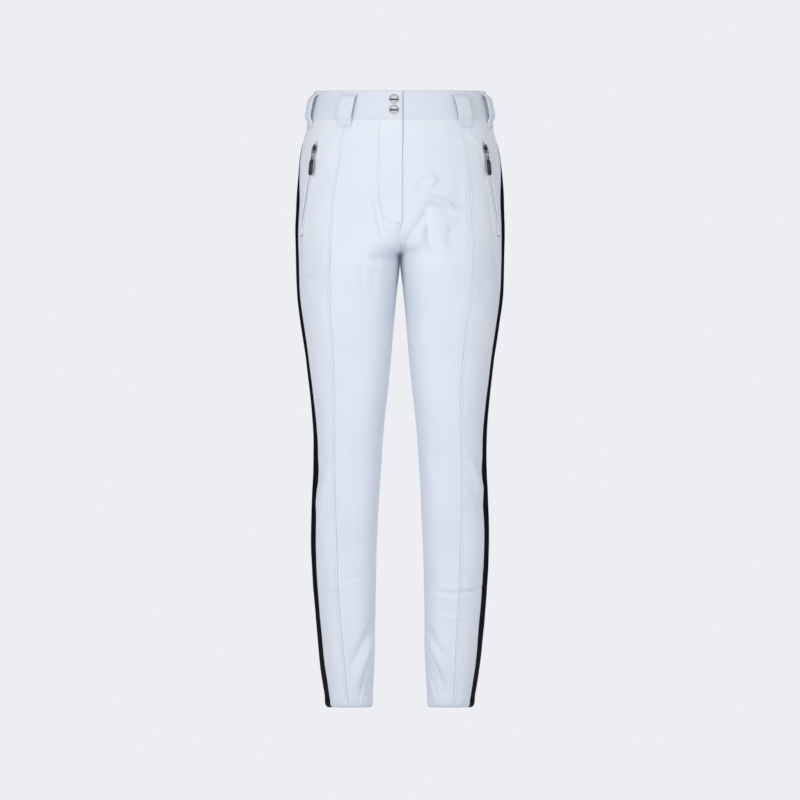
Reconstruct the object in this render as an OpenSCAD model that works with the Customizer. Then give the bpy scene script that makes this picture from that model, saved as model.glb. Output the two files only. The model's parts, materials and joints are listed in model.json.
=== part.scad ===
// Slim ski pants, held open at the waist as on a wearer.
// +Z is up, the front faces -Y, +X is the wearer's left.
// The origin is the centre of the waist opening, at the top edge of the waistband.
// The legs mirror each other; the fly laps right over left.

/* [Overall] */
// Height from the hems to the top of the waistband
pants_h = 1020; // [1005:5:1040]
// Height from the crotch to the top of the waistband
rise = 275; // [272:1:280]

/* [Body shape] */
// Half width at the top of the waistband
waist_half_w = 140; // [138:1:142]
// Half width at the hips
hip_half_w = 173; // [171:1:175]
// Half width across both knees
knee_half_w = 143; // [141:1:146]
// Half width across both calves
calf_half_w = 147; // [144:1:149]
// Half width across both hems
hem_half_w = 121; // [119:1:124]
// Depth of the waist opening, front to back
waist_depth = 201; // [197:1:205]
// Depth of the hips, front to back
hip_depth = 238; // [234:1:242]
// Depth of one leg at the knee
knee_depth = 132; // [128:1:136]
// Depth of one leg at the hem
hem_depth = 108; // [106:1:112]

/* [Cloth] */
// Thickness of the shell cloth, with its turned seams
cloth = 2; // [1.8:0.1:2.2]
// Gap between neighbouring pieces
gap = 0.3; // [0.25:0.05:0.4]

/* [Waistband] */
// Height of the waistband
band_h = 48; // [46:1:50]
// Width of a belt loop
loop_w = 26; // [24:1:30]
// Room between a belt loop and the waistband
loop_room = 8; // [7:0.5:9]
// Diameter of a snap cap
snap_d = 16.5; // [15:0.5:17]

/* [Fly] */
// Height of the fly flap below the waist, down to its bar tack
fly_drop = 221; // [219:1:222]
// Distance from the centre front to the fly's stitch line
fly_stitch_x = 36; // [35:1:37]
// How far the flap laps past the centre front
fly_lap = 4; // [3.5:0.5:5]
// Length of the fly zip
fly_zip_l = 152; // [148:1:154]

/* [Pockets] */
// Length of a pocket zip along its curve
pocket_zip_l = 158; // [150:1:160]
// Length of a pull tab
tab_l = 28; // [24:1:30]
// Width of a pull tab
tab_w = 11.8; // [10:0.2:12]

/* [Hems] */
// Height of the hem band
hem_h = 8; // [6:1:10]
// Height of the snow gaiter inside the hem
gaiter_h = 155; // [130:5:170]

/* [Hidden] */

shell_color = "#dbe4ee";
trim_color = "#c9d3df";
stripe_color = "#17181c";
metal_color = "#9a9ca2";
dark_color = "#3a3c42";

leg_l = pants_h - rise;
// Length of the centre seam's curve above the crotch, in front and behind
front_curve = rise - fly_drop;
back_curve = 95;

// Cross sections from the waist down:
// [drop, half width at the side, half gap at the inseam, depth in front of the side seam,
//  depth behind it, y of the side seam, x of the princess seam]
STATIONS = [
  [0, waist_half_w, 0, 0.512 * waist_depth, 0.488 * waist_depth, 0, 94],
  [48, mix(waist_half_w, hip_half_w, 0.33), 0, 106, 104, 0, 97],
  [115, mix(waist_half_w, hip_half_w, 0.79), 0, 110, 113, 1, 106],
  [215, hip_half_w, 0, 0.487 * hip_depth, 0.513 * hip_depth, 3, 116],
  [rise, hip_half_w - 1, 0, 116, 116, 5, 118],
  [rise + 0.095 * leg_l, hip_half_w - 4, 7, 98, 98, 4, 115],
  [rise + 0.228 * leg_l, mix(hip_half_w, knee_half_w, 0.57), 15, 84, 84, 2, 106],
  [rise + 0.405 * leg_l, knee_half_w, 28, knee_depth / 2, knee_depth / 2, -2, 104],
  [rise + 0.631 * leg_l, calf_half_w, 38, 60, 68, 4, 103],
  [rise + 0.76 * leg_l, calf_half_w - 5, 40, 58, 64, 4, 99],
  [rise + 0.893 * leg_l, calf_half_w - 14, 42, 56, 58, 3, 93],
  [pants_h, hem_half_w, 46, hem_depth / 2, hem_depth / 2, 2, 88]
];
SIDE = 1;
INSEAM = 2;
FRONT = 3;
BACK = 4;
SIDE_Y = 5;
PRINCESS = 6;

function mix(a, b, w) = a + (b - a) * w;
function clamp(v) = min(max(v, 0), 1);
function ease(v) = let (c = clamp(v)) c * c * (3 - 2 * c);
function unit(v) = v / norm(v);
// n even steps from a to b, both ends included
function steps(a, b, n) = [for (i = [0:n]) a + (b - a) * i / n];

// Smooth curve through the stations: value of a column at a drop below the waist
function station_above(drop, i = 0) =
  i < len(STATIONS) - 2 && drop > STATIONS[i + 1][0] ? station_above(drop, i + 1) : i;
function station_slope(i, column) =
  let (a = STATIONS[max(i - 1, 0)], b = STATIONS[min(i + 1, len(STATIONS) - 1)])
  (b[column] - a[column]) / (b[0] - a[0]);
function shape(drop, column) =
  let (
    i = station_above(drop),
    a = STATIONS[i],
    b = STATIONS[i + 1],
    h = b[0] - a[0],
    u = (drop - a[0]) / h
  )
  (1 + 2 * u) * (1 - u) ^ 2 * a[column] + u * (1 - u) ^ 2 * h * station_slope(i, column)
  + u ^ 2 * (3 - 2 * u) * b[column] - u ^ 2 * (1 - u) * h * station_slope(i + 1, column);

// How open the inner end of a section is: 1 along the centre seam, 0 where it closes as a leg
function seat(drop, curve) =
  let (u = clamp((rise - drop) / curve))
  sqrt(1 - (1 - u) ^ 2);
// Share of a section's half width that lies flat across the front: none at the waist, up to
// the middle of the leg at the thigh
function flat_share(drop) = 0.5 * ease((drop - 100) / 330);

// A point of the left half's cloth. turn runs from 0 at the centre front or inseam over 1 at
// the side to 2 at the centre back or inseam; inset moves the point in from the outer face.
function skin(turn, drop, inset = 0) =
  let (
    front = turn <= 1,
    t = front ? turn : 2 - turn,
    w = seat(drop, front ? front_curve : back_curve),
    far = shape(drop, SIDE) - inset,
    inner = drop > rise ? shape(drop, INSEAM) : 0,
    near = max(inner, gap / 2) + inset * (1 - w),
    reach = shape(drop, front ? FRONT : BACK) - inset,
    across = mix((1 - cos(180 * t)) / 2, sin(90 * t), clamp((rise - drop) / front_curve)),
    flat = flat_share(drop),
    round_side = sqrt(max(1 - (max(abs(across) - flat, 0) / (1 - flat)) ^ 2, 0)),
    round_inseam = sqrt(1 - (1 - w ^ 2) * max(1 - 2 * abs(across), 0) ^ 2)
  )
  [
    near + (far - near) * across,
    shape(drop, SIDE_Y) + (front ? -1 : 1) * reach * round_side * round_inseam,
    -drop
  ];

// The turn at which the front of a section above the crotch curve reaches x
function hip_turn(x, drop) = asin((x - gap / 2) / (shape(drop, SIDE) - gap / 2)) / 90;
// The turn at which the front of any section reaches x, by halving
function turn_at(x, drop, low = 0, high = 1, left = 14) =
  left == 0 ? (low + high) / 2
  : let (middle = (low + high) / 2)
    skin(middle, drop)[0] < x ? turn_at(x, drop, middle, high, left - 1)
    : turn_at(x, drop, low, middle, left - 1);

// Drops of the rows of points: evenly down the hips and legs, closer along the crotch curve
hip_rows = [band_h + gap, 80, 112, 145, 172, 199.9, 200.3, 214, fly_drop];
crotch_rows = [for (a = [75:-15:0]) rise - front_curve * (1 - cos(a))];
leg_rows = concat(
  [rise + 12, rise + 30, rise + 55, rise + 90],
  steps(rise + 125, pants_h - hem_h - gap, 16)
);
cloth_rows = concat(hip_rows, crotch_rows, leg_rows);
// The cloth rows between two drops, with both ends
function rows_between(top, bottom) =
  concat([top], [for (d = cloth_rows) if (d > top + 2 && d < bottom - 2) d], [bottom]);

// Closed solid between an outer and an inner grid of points, rows down and columns across
function quad(a, b, c, d) = [[a, b, c], [a, c, d]];
module sheet(outer, inner, ring = false) {
  rows = len(outer);
  cols = len(outer[0]);
  wide = ring ? cols : cols - 1;
  inside = rows * cols;
  function at(r, c) = r * cols + c % cols;
  polyhedron(
    points = [for (grid = [outer, inner]) for (row = grid) each row],
    faces = [
      for (r = [0:rows - 2]) for (c = [0:wide - 1])
        each quad(at(r, c), at(r, c + 1), at(r + 1, c + 1), at(r + 1, c)),
      for (r = [0:rows - 2]) for (c = [0:wide - 1])
        each quad(
          inside + at(r, c), inside + at(r + 1, c), inside + at(r + 1, c + 1), inside + at(r, c + 1)
        ),
      for (c = [0:wide - 1])
        each quad(at(0, c + 1), at(0, c), inside + at(0, c), inside + at(0, c + 1)),
      for (c = [0:wide - 1])
        each quad(
          at(rows - 1, c), at(rows - 1, c + 1),
          inside + at(rows - 1, c + 1), inside + at(rows - 1, c)
        ),
      if (!ring) for (r = [0:rows - 2])
        each quad(at(r, 0), at(r + 1, 0), inside + at(r + 1, 0), inside + at(r, 0)),
      if (!ring) for (r = [0:rows - 2])
        each quad(
          at(r + 1, cols - 1), at(r, cols - 1),
          inside + at(r, cols - 1), inside + at(r + 1, cols - 1)
        )
    ]
  );
}

no_lift = function (x, drop) 0;
// A piece of cloth on the left half. turns gives the turns of a row from its drop; the piece
// lies between two insets, and its front is moved forward by lift.
function cloth_grid(rows, turns, inset, lift) = [
  for (d = rows) [
    for (t = turns(d))
      let (p = skin(t, d, inset))
      p - [0, t < 1 ? lift(p[0], d) : 0, 0]
  ]
];
module cloth_piece(rows, turns, outer = 0, thick = cloth, lift = no_lift) {
  sheet(cloth_grid(rows, turns, outer, lift), cloth_grid(rows, turns, outer + thick, lift));
}
// A tube of cloth right round the left leg; inset gives the outer inset from the drop
module cloth_tube(rows, inset, thick, cols = 20) {
  sheet(
    [for (d = rows) [for (c = [0:cols - 1]) skin(2 * c / cols, d, inset(d))]],
    [for (d = rows) [for (c = [0:cols - 1]) skin(2 * c / cols, d, inset(d) + thick)]],
    ring = true
  );
}
module on_right() {
  mirror([1, 0, 0]) children();
}
// Puts children in a frame with the given origin and axes
module place(o, ex, ey, ez) {
  multmatrix([
    [ex[0], ey[0], ez[0], o[0]],
    [ex[1], ey[1], ez[1], o[1]],
    [ex[2], ey[2], ez[2], o[2]]
  ])
    children();
}

// ---- Fly: places shared by the panels, the flap and the zip ----
// Drop at which the flap's fold line meets its bar tack
fold_drop = 200;
// The flap folds about a line that slants from the stitch line to the bar tack
function fold_x(drop) = fly_stitch_x - (fly_stitch_x + fly_lap) * drop / fly_drop;
// Cloth over the zip stands forward of the cloth beside it
flap_lift = 2.4;
fly_lift = function (x, drop) flap_lift * ease((40 - x) / 11) * (1 - ease((drop - fly_drop) / 20));
overlap_lift = 4.4;
band_lift = function (x, drop) overlap_lift * ease((48 - x) / 11);
// How far the left front and the under-lap reach past the centre, under the flap
underlap_x = 6;
band_underlap_x = 24;
fly_zip_x = 12;

// ---- Panels ----
joint_t = 0.0008;
function seam_turn(drop) = turn_at(shape(drop, PRINCESS), drop);
// Edges of the side stripe, as distances in front of and behind the side
stripe_top = 88;
stripe_front = function (drop) mix(6, 26, ease((drop - stripe_top) / 60)) + 2 * ease((drop - 500) / 400);
stripe_back = function (drop) mix(6, 18, ease((drop - stripe_top) / 60)) - 4 * ease((drop - 500) / 400);
// The turn at which the cloth is a distance in front of the side, by halving
function side_turn(distance, drop, back, low = 0.5, high = 1, left = 14) =
  left == 0 ? (low + high) / 2
  : let (middle = (low + high) / 2, y = skin(back ? 2 - middle : middle, drop)[1])
    abs(y - shape(drop, SIDE_Y)) > distance
    ? side_turn(distance, drop, back, middle, high, left - 1)
    : side_turn(distance, drop, back, low, middle, left - 1);
function stripe_front_turn(drop) =
  drop < stripe_top - 1 ? 1 : side_turn(stripe_front(drop), drop, false);
function stripe_back_turn(drop) =
  drop < stripe_top - 1 ? 1 : 2 - side_turn(stripe_back(drop), drop, true);

front_rows = rows_between(band_h + gap, pants_h - hem_h - gap);
side_rows = [
  for (d = front_rows) if (d < stripe_top - 6) d,
  stripe_top - 1.5, stripe_top - 0.9,
  for (d = front_rows) if (d > stripe_top + 6) d
];
stripe_rows = [stripe_top, for (d = front_rows) if (d > stripe_top + 6) d];

// Inner edge of the left front: under the flap, then the centre seam and the inseam
function left_edge(drop) =
  drop < 208 ? hip_turn(-underlap_x, drop) : joint_t;
// Inner edge of the right front: the fold line, the lapped strip below it, the centre seam
function right_edge(drop) =
  drop < fold_drop ? hip_turn(fold_x(drop) + gap, drop)
  : drop < fly_drop - 1 ? hip_turn(-fly_lap, drop)
  : joint_t;
// Columns of the right front gather where the cloth rises over the zip
right_turns = function (drop)
  let (seam = seam_turn(drop) - joint_t, edge = right_edge(drop))
  drop < fly_drop + 20
  ? concat(
      steps(edge, max(hip_turn(29, drop), edge + 0.01), 2),
      [hip_turn(34.5, drop)],
      steps(hip_turn(40, drop), seam, 5)
    )
  : steps(edge, seam, 9);

module front_panel_left() {
  color(shell_color)
    cloth_piece(front_rows, function (d) steps(left_edge(d), seam_turn(d) - joint_t, 8));
}
module front_panel_right() {
  color(shell_color)
    on_right()
      cloth_piece(front_rows, right_turns, lift = fly_lift);
}
module side_front_panel() {
  color(shell_color)
    difference() {
      cloth_piece(
        side_rows,
        function (d) steps(seam_turn(d) + joint_t, stripe_front_turn(d) - joint_t, 6)
      );
      pocket_sweep(0, pocket_turn)
        translate([-12, -pocket_slot_w / 2])
          square([24, pocket_slot_w]);
    }
}
module back_panel() {
  color(shell_color)
    cloth_piece(side_rows, function (d) steps(stripe_back_turn(d) + joint_t, 2 - joint_t, 11));
}
module side_stripe() {
  color(stripe_color)
    cloth_piece(
      stripe_rows,
      function (d) steps(stripe_front_turn(d) + joint_t, stripe_back_turn(d) - joint_t, 3)
    );
}

// ---- Waistband ----
band_rise = 0.8;
band_thick = 3;
band_rows = steps(0, band_h, 3);
facing_inset = 4;
facing_thick = 0.8;
elastic_inset = 2.5;
elastic_thick = 1.2;

module waistband_left() {
  color(shell_color)
    difference() {
      cloth_piece(
        band_rows,
        function (d) steps(hip_turn(-band_underlap_x, d), 2, 22),
        -band_rise,
        band_thick
      );
      each_snap() cylinder(d = snap_hole_d, h = 12, center = true, $fn = 32);
    }
}
module waistband_right() {
  color(shell_color)
    on_right()
      cloth_piece(
        band_rows,
        function (d) concat(
          [hip_turn(fold_x(d) + gap, d), hip_turn(39, d), hip_turn(43.5, d)],
          steps(hip_turn(48, d), 2, 20)
        ),
        -band_rise,
        band_thick,
        band_lift
      );
}
// The part of the waistband that opens with the flap
overlap_thick = 1.8;
module waistband_overlap() {
  color(shell_color)
    difference() {
      on_right()
        cloth_piece(
          band_rows,
          function (d) steps(hip_turn(-fly_lap, d), hip_turn(fold_x(d) - gap, d), 5),
          -band_rise,
          overlap_thick,
          band_lift
        );
      each_snap() cylinder(d = snap_hole_d, h = 30, center = true, $fn = 32);
    }
}
module waistband_facing_left() {
  color(trim_color)
    difference() {
      cloth_piece(
        steps(1, band_h - 2, 2),
        function (d) steps(hip_turn(-band_underlap_x, d), 2, 20),
        facing_inset,
        facing_thick
      );
      each_snap() cylinder(d = snap_hole_d, h = 12, center = true, $fn = 32);
    }
}
module waistband_facing_right() {
  color(trim_color)
    on_right()
      cloth_piece(
        steps(1, band_h - 2, 2),
        function (d) steps(hip_turn(30, d), 2, 18),
        facing_inset,
        facing_thick
      );
}
// One elastic strip from side to side round the back, as a grid over both halves
module waist_elastic() {
  turns = steps(1.06, 2, 9);
  function strip(inset) = [
    for (d = [6, band_h - 6]) concat(
      [for (t = turns) skin(t, d, inset)],
      [for (i = [len(turns) - 1:-1:0]) let (p = skin(turns[i], d, inset)) [-p[0], p[1], p[2]]]
    )
  ];
  color("#f2f2f2")
    sheet(strip(elastic_inset), strip(elastic_inset + elastic_thick));
}

// ---- Snaps, in a frame with its y axis pointing into the body ----
snap_x = 9.5;
snap_drops = [15.5, 33];
snap_hole_d = 3.4;
function front_point(x, drop) = skin(hip_turn(x, drop), drop);
// A child's +Z points out of the cloth at the centre of each snap, on the band's outer face
module each_snap() {
  for (d = snap_drops) {
    p = front_point(snap_x, d);
    up = unit(front_point(snap_x, d - 12) - front_point(snap_x, d + 12));
    across = unit(front_point(snap_x + 4, d) - front_point(snap_x - 4, d));
    out = unit(cross(across, up));
    on_right()
      place(p + band_rise * out, across, cross(out, across), out) children();
  }
}
cap_base = overlap_lift + 0.05;
module snap_caps() {
  color(metal_color)
    each_snap() {
      translate([0, 0, cap_base])
        cylinder(d1 = snap_d, d2 = snap_d - 1, h = 0.9, $fn = 48);
      translate([0, 0, cap_base + 0.9])
        rotate_extrude($fn = 48)
          intersection() {
            translate([0, -21.6])
              circle(r = 23, $fn = 96);
            square([snap_d / 2 - 0.5, 2]);
          }
      translate([0, 0, cap_base - overlap_thick - 0.1])
        cylinder(d = 3, h = overlap_thick + 0.1, $fn = 32);
    }
}
socket_h = 1.7;
module snap_sockets() {
  color(metal_color)
    each_snap()
      translate([0, 0, cap_base - overlap_thick - 0.15 - socket_h])
        difference() {
          cylinder(d = 11, h = socket_h, $fn = 48);
          translate([0, 0, -1])
            cylinder(d = 5.6, h = socket_h + 0.5, $fn = 48);
        }
}
module snap_studs() {
  color(metal_color)
    each_snap() {
      translate([0, 0, 0.05])
        cylinder(d = 9.5, h = 0.35, $fn = 48);
      translate([0, 0, 0.3])
        cylinder(d = 4.2, h = 1.3, $fn = 32);
      translate([0, 0, -6])
        cylinder(d = 3, h = 6.1, $fn = 32);
    }
}
module snap_backs() {
  color(metal_color)
    each_snap()
      translate([0, 0, -6.9])
        cylinder(d = 10, h = 0.85, $fn = 48);
}

// ---- Belt loops: a strap tacked above and below, standing off the waistband between ----
loop_thick = 1.6;
loop_drop = 61;
module belt_loop(turn) {
  p = skin(turn, 0);
  // level outward direction at the loop, from the section's tangent
  tangent = unit(skin(turn + 0.01, 30) - skin(turn - 0.01, 30));
  out = [tangent[1], -tangent[0], 0];
  function reach(d) = (skin(turn, d) - p) * out;
  inner = [
    [reach(1) + band_rise + gap, -1],
    [reach(6) + band_rise + gap, -6],
    [reach(13) + band_rise + loop_room, -13],
    [reach(30) + band_rise + loop_room, -30],
    [reach(46) + band_rise + 0.7 * loop_room, -46],
    [reach(loop_drop - 6) + 2 * gap, -(loop_drop - 6)],
    [reach(loop_drop) + 2 * gap, -loop_drop]
  ];
  outer = [for (i = [len(inner) - 1:-1:0]) inner[i] + [loop_thick, 0]];
  color(trim_color)
    place(p, out, cross([0, 0, 1], out), [0, 0, 1])
      rotate([90, 0, 0])
        linear_extrude(loop_w, center = true)
          polygon(concat(inner, outer));
}
// The right front loop sits nearer the centre than the left one
front_loop_turn_right = hip_turn(84, 20);
front_loop_turn_left = hip_turn(99, 20);
side_loop_turn = 0.86;

// ---- Fly flap, shield and zip ----
module fly_flap() {
  color(shell_color)
    on_right()
      cloth_piece(
        concat([band_h + gap], steps(80, 176, 3), [fold_drop - 0.5]),
        function (d) steps(hip_turn(-fly_lap, d), hip_turn(fold_x(d) - gap, d), 4),
        0,
        overlap_thick,
        fly_lift
      );
}
module fly_shield() {
  color(trim_color)
    on_right()
      cloth_piece(
        steps(band_h + 3, fly_drop - 9, 5),
        function (d) steps(hip_turn(-18, d), hip_turn(30, d), 4),
        9,
        1.2
      );
}
// The zip's frame: x across, y into the body, z up, origin at the zip's top on the cloth face
fly_zip_top = 54;
module fly_frame() {
  top = front_point(fly_zip_x, fly_zip_top);
  bottom = front_point(fly_zip_x, fly_zip_top + fly_zip_l);
  middle = fly_zip_top + fly_zip_l / 2;
  up = unit(top - bottom);
  side = front_point(fly_zip_x + 5, middle) - front_point(fly_zip_x - 5, middle);
  into = unit(cross(up, side));
  on_right()
    place(top, cross(into, up), into, up) children();
}
half_slit = 0.7;
teeth_w = 2.5;
stop_l = 2.5;
tape_y = 5.2;
teeth_y = 3.4;
module both_sides() {
  for (s = [0, 1]) mirror([s, 0, 0]) children();
}
module fly_zip_tapes() {
  color(trim_color)
    fly_frame()
      both_sides()
        translate([half_slit, tape_y, -fly_zip_l])
          cube([11.3, 0.6, fly_zip_l]);
}
module fly_zip_teeth() {
  color(trim_color)
    fly_frame()
      both_sides()
        translate([half_slit, teeth_y, stop_l + 0.8 - fly_zip_l])
          cube([teeth_w, tape_y - teeth_y - 0.05, fly_zip_l - 2 * stop_l - 1.6]);
}
module fly_zip_stops() {
  color(metal_color)
    fly_frame() {
      both_sides()
        translate([half_slit + 0.2, teeth_y, -stop_l - 0.3])
          cube([teeth_w, tape_y - teeth_y - 0.05, stop_l]);
      translate([-3, teeth_y, 0.3 - fly_zip_l])
        cube([6, tape_y - teeth_y - 0.05, stop_l]);
    }
}
fly_slider_l = 12;
fly_slider_top = -stop_l - 1.2;
module fly_slider() {
  color(metal_color)
    fly_frame()
      translate([0, 0, fly_slider_top - fly_slider_l]) {
        translate([-4.5, 2, 0])
          cube([9, 1.1, fly_slider_l]);
        both_sides()
          translate([3.5, 3, 0])
            cube([1, 1.9, fly_slider_l]);
        translate([-0.4, 3, fly_slider_l - 5])
          cube([0.8, 3.2, 5]);
        translate([-4, 6.1, 0])
          cube([8, 1, fly_slider_l]);
        translate([-1.2, 1, 2])
          cube([2.4, 1.1, 7]);
      }
}
// Lies flat on the slider, under the flap
module fly_pull() {
  color(metal_color)
    fly_frame()
      translate([0, 0, fly_slider_top - fly_slider_l]) {
        difference() {
          translate([-2.8, 0.7, -16])
            cube([5.6, 1, 26]);
          translate([-1.5, 0, 1.7])
            cube([3, 3, 7.6]);
        }
      }
}

// ---- Pocket zips, each on an arc that follows the hip ----
pocket_top = 86;
function hip_point(share, drop) =
  let (x = share * shape(drop, SIDE))
  skin(turn_at(x, drop), drop);
pocket_a = hip_point(0.862, pocket_top);
pocket_m = hip_point(0.888, pocket_top + 78);
pocket_b = hip_point(0.94, pocket_top + 155);
// Centre and radius of the circle through the three points
function circle_centre(a, b, c) =
  let (u = b - a, v = c - a, n = cross(u, v))
  a + (cross(n, u) * (v * v) + cross(v, n) * (u * u)) / (2 * (n * n));
pocket_c = circle_centre(pocket_a, pocket_m, pocket_b);
pocket_r = norm(pocket_a - pocket_c);
pocket_axis = unit(cross(pocket_a - pocket_c, pocket_b - pocket_c));
pocket_out = unit(pocket_a - pocket_c);
pocket_turn = pocket_zip_l / pocket_r * 180 / PI;
pocket_slot_w = 9.4;
// Lean of the cloth's normal out of the arc's plane, at the middle of the zip
pocket_normal = unit(cross(
  hip_point(0.898, pocket_top + 78) - hip_point(0.878, pocket_top + 78),
  hip_point(0.888, pocket_top + 70) - hip_point(0.888, pocket_top + 86)
));
pocket_mid = unit(pocket_m - pocket_c);
pocket_lean = atan2(pocket_normal * pocket_axis, pocket_normal * pocket_mid);
// x is out from the arc's centre, y down the zip, z across it
module pocket_frame() {
  place(pocket_c, pocket_out, cross(pocket_axis, pocket_out), pocket_axis) children();
}
// Sweeps a profile along the zip; its x is height above the cloth and its y runs across
module pocket_sweep(from, to) {
  pocket_frame()
    rotate([0, 0, from])
      rotate_extrude(angle = to - from, $fn = 900)
        translate([pocket_r, 0])
          rotate(pocket_lean)
            children();
}
// At an angle down the arc: x is out of the cloth, y down the zip, z across it
module pocket_at(angle) {
  pocket_frame()
    rotate([0, 0, angle])
      translate([pocket_r, 0, 0])
        rotate([0, -pocket_lean, 0])
          children();
}
mm_turn = 180 / PI / pocket_r;
module both_rows() {
  for (s = [0, 1]) mirror([0, s]) children();
}
pocket_tape_x = -4.6;
module pocket_zip_tapes() {
  color(trim_color)
    pocket_sweep(0.5 * mm_turn, pocket_turn - 0.5 * mm_turn)
      both_rows()
        translate([pocket_tape_x, half_slit])
          square([0.6, 8.8]);
}
module pocket_zip_coil() {
  color(trim_color)
    pocket_sweep(4 * mm_turn, pocket_turn - 4 * mm_turn)
      both_rows()
        translate([pocket_tape_x - 1.65, half_slit])
          square([1.6, 2.3]);
}
module pocket_zip_stops() {
  color(metal_color) {
    pocket_sweep(1 * mm_turn, 3.5 * mm_turn)
      both_rows()
        translate([pocket_tape_x - 1.65, half_slit + 0.2])
          square([1.6, 2.3]);
    pocket_sweep(pocket_turn - 3.5 * mm_turn, pocket_turn - 1 * mm_turn)
      translate([pocket_tape_x - 1.65, -3])
        square([1.6, 6]);
  }
}
// A plate with round ends: length along y, width along z, between two heights
module round_plate(l, w, low, high) {
  for (s = [-1, 1])
    translate([low, s * (l - w) / 2, 0])
      rotate([0, 90, 0])
        cylinder(d = w, h = high - low, $fn = 48);
  translate([low, -(l - w) / 2, -w / 2])
    cube([high - low, l - w, w]);
}
pocket_slider_at = 11;
bail_low = 2.9;
bail_high = 6;
module pocket_slider() {
  color(dark_color)
    pocket_at(pocket_slider_at * mm_turn) {
      round_plate(13, 8, -3.7, 0.5);
      round_plate(12, 7, 0.4, 1.5);
      round_plate(15.5, 10, 1.4, bail_low);
      translate([-6.7, -5.5, -0.4])
        cube([3.1, 5, 0.8]);
      round_plate(12, 7.6, -7.6, -6.6);
      difference() {
        round_plate(11, 2.8, bail_low - 0.1, bail_high);
        translate([bail_low, -3.4, -3])
          cube([2.1, 6.8, 6]);
      }
    }
}
// The link hangs from the slider's bail, and the pull tab from the link
link_x = bail_low + 1.05;
link_y = 2.3;
link_l = 12.5;
link_half_w = 3.4;
wire_d = 1.4;
// The link and the pull tab hang nearly plumb, turned back from the zip's slant
hang_turn = 8;
module hung() {
  pocket_at(pocket_slider_at * mm_turn)
    translate([link_x, link_y, 0])
      rotate([-hang_turn, 0, 0])
        children();
}
module wire(from, to) {
  span = to - from;
  up = unit(span);
  side = unit(cross(up, [1, 0.3, 0]));
  place(from, side, cross(up, side), up)
    cylinder(d = wire_d, h = norm(span), $fn = 24);
  translate(from)
    sphere(d = wire_d, $fn = 24);
}
module pocket_link() {
  corners = [
    [0, 0, -link_half_w],
    [0, 0, link_half_w],
    [0, link_l, link_half_w],
    [0, link_l, -link_half_w]
  ];
  color(dark_color)
    hung()
      for (i = [0:3]) wire(corners[i], corners[(i + 1) % 4]);
}
tab_thick = 2.4;
module pocket_pull() {
  color(dark_color)
    hung()
      translate([0, link_l, 0]) {
        difference() {
          union() {
            translate([0, 0, -2.2])
              cylinder(d = 4.2, h = 4.4, $fn = 32);
            translate([-tab_thick / 2, 0, -2.2])
              cube([tab_thick, 4, 4.4]);
          }
          translate([0, 0, -3])
            cylinder(d = 2.2, h = 6, $fn = 32);
        }
        translate([0, 2 + tab_l / 2, 0])
          round_plate(tab_l, tab_w, -tab_thick / 2, tab_thick / 2);
      }
}
// Two layers of pocketing pressed flat against the front, with a round lower end
bag_inset = 9.5;
bag_thick = 2.4;
bag_top = 74;
bag_low = 312;
module pocket_bag() {
  round_l = 40;
  color("#e6e9ee")
    cloth_piece(
      concat(steps(bag_top, bag_low - round_l, 4), [for (a = [30:20:90]) bag_low - round_l * (1 - sin(a))]),
      function (d)
        let (
          down = clamp((d - bag_low + round_l) / round_l),
          tuck = 26 * (1 - sqrt(max(1 - down ^ 2, 0.02)))
        )
        steps(
          turn_at(100 + tuck, d),
          turn_at(0.955 * shape(d, SIDE) - tuck, d),
          7
        ),
      bag_inset,
      bag_thick
    );
}

// ---- Hems ----
hem_rise = 0.4;
module hem_band() {
  color(trim_color)
    cloth_tube([pants_h - hem_h, pants_h], function (d) -hem_rise, 2.6, 28);
}
gaiter_low = pants_h - 10;
module snow_gaiter() {
  color("#dfe3e8")
    cloth_tube(
      steps(gaiter_low - gaiter_h, gaiter_low, 4),
      function (d) mix(2.5, 11, ease((d - gaiter_low + gaiter_h) / gaiter_h)),
      0.8
    );
}
module gaiter_elastic() {
  color("#f2f2f2")
    cloth_tube([gaiter_low - 22, gaiter_low - 2], function (d) 12.1, 1.2);
}

front_panel_right();
front_panel_left();
on_right() side_front_panel();  // side_front_panel_right
side_front_panel();  // side_front_panel_left
on_right() back_panel();  // back_panel_right
back_panel();  // back_panel_left
on_right() side_stripe();  // side_stripe_right
side_stripe();  // side_stripe_left
waistband_right();
waistband_left();
waistband_overlap();
waistband_facing_right();
waistband_facing_left();
waist_elastic();
snap_caps();
snap_sockets();
snap_studs();
snap_backs();
on_right() belt_loop(front_loop_turn_right);  // belt_loop_front_right
belt_loop(front_loop_turn_left);  // belt_loop_front_left
on_right() belt_loop(side_loop_turn);  // belt_loop_side_right
belt_loop(side_loop_turn);  // belt_loop_side_left
belt_loop(2);  // belt_loop_back
fly_flap();
fly_shield();
fly_zip_tapes();
fly_zip_teeth();
fly_zip_stops();
fly_slider();
fly_pull();
on_right() pocket_zip_tapes();  // pocket_zip_tapes_right
pocket_zip_tapes();  // pocket_zip_tapes_left
on_right() pocket_zip_coil();  // pocket_zip_coil_right
pocket_zip_coil();  // pocket_zip_coil_left
on_right() pocket_zip_stops();  // pocket_zip_stops_right
pocket_zip_stops();  // pocket_zip_stops_left
on_right() pocket_slider();  // pocket_slider_right
pocket_slider();  // pocket_slider_left
on_right() pocket_link();  // pocket_link_right
pocket_link();  // pocket_link_left
on_right() pocket_pull();  // pocket_pull_right
pocket_pull();  // pocket_pull_left
on_right() pocket_bag();  // pocket_bag_right
pocket_bag();  // pocket_bag_left
on_right() hem_band();  // hem_band_right
hem_band();  // hem_band_left
on_right() snow_gaiter();  // snow_gaiter_right
snow_gaiter();  // snow_gaiter_left
on_right() gaiter_elastic();  // gaiter_elastic_right
gaiter_elastic();  // gaiter_elastic_left
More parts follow.
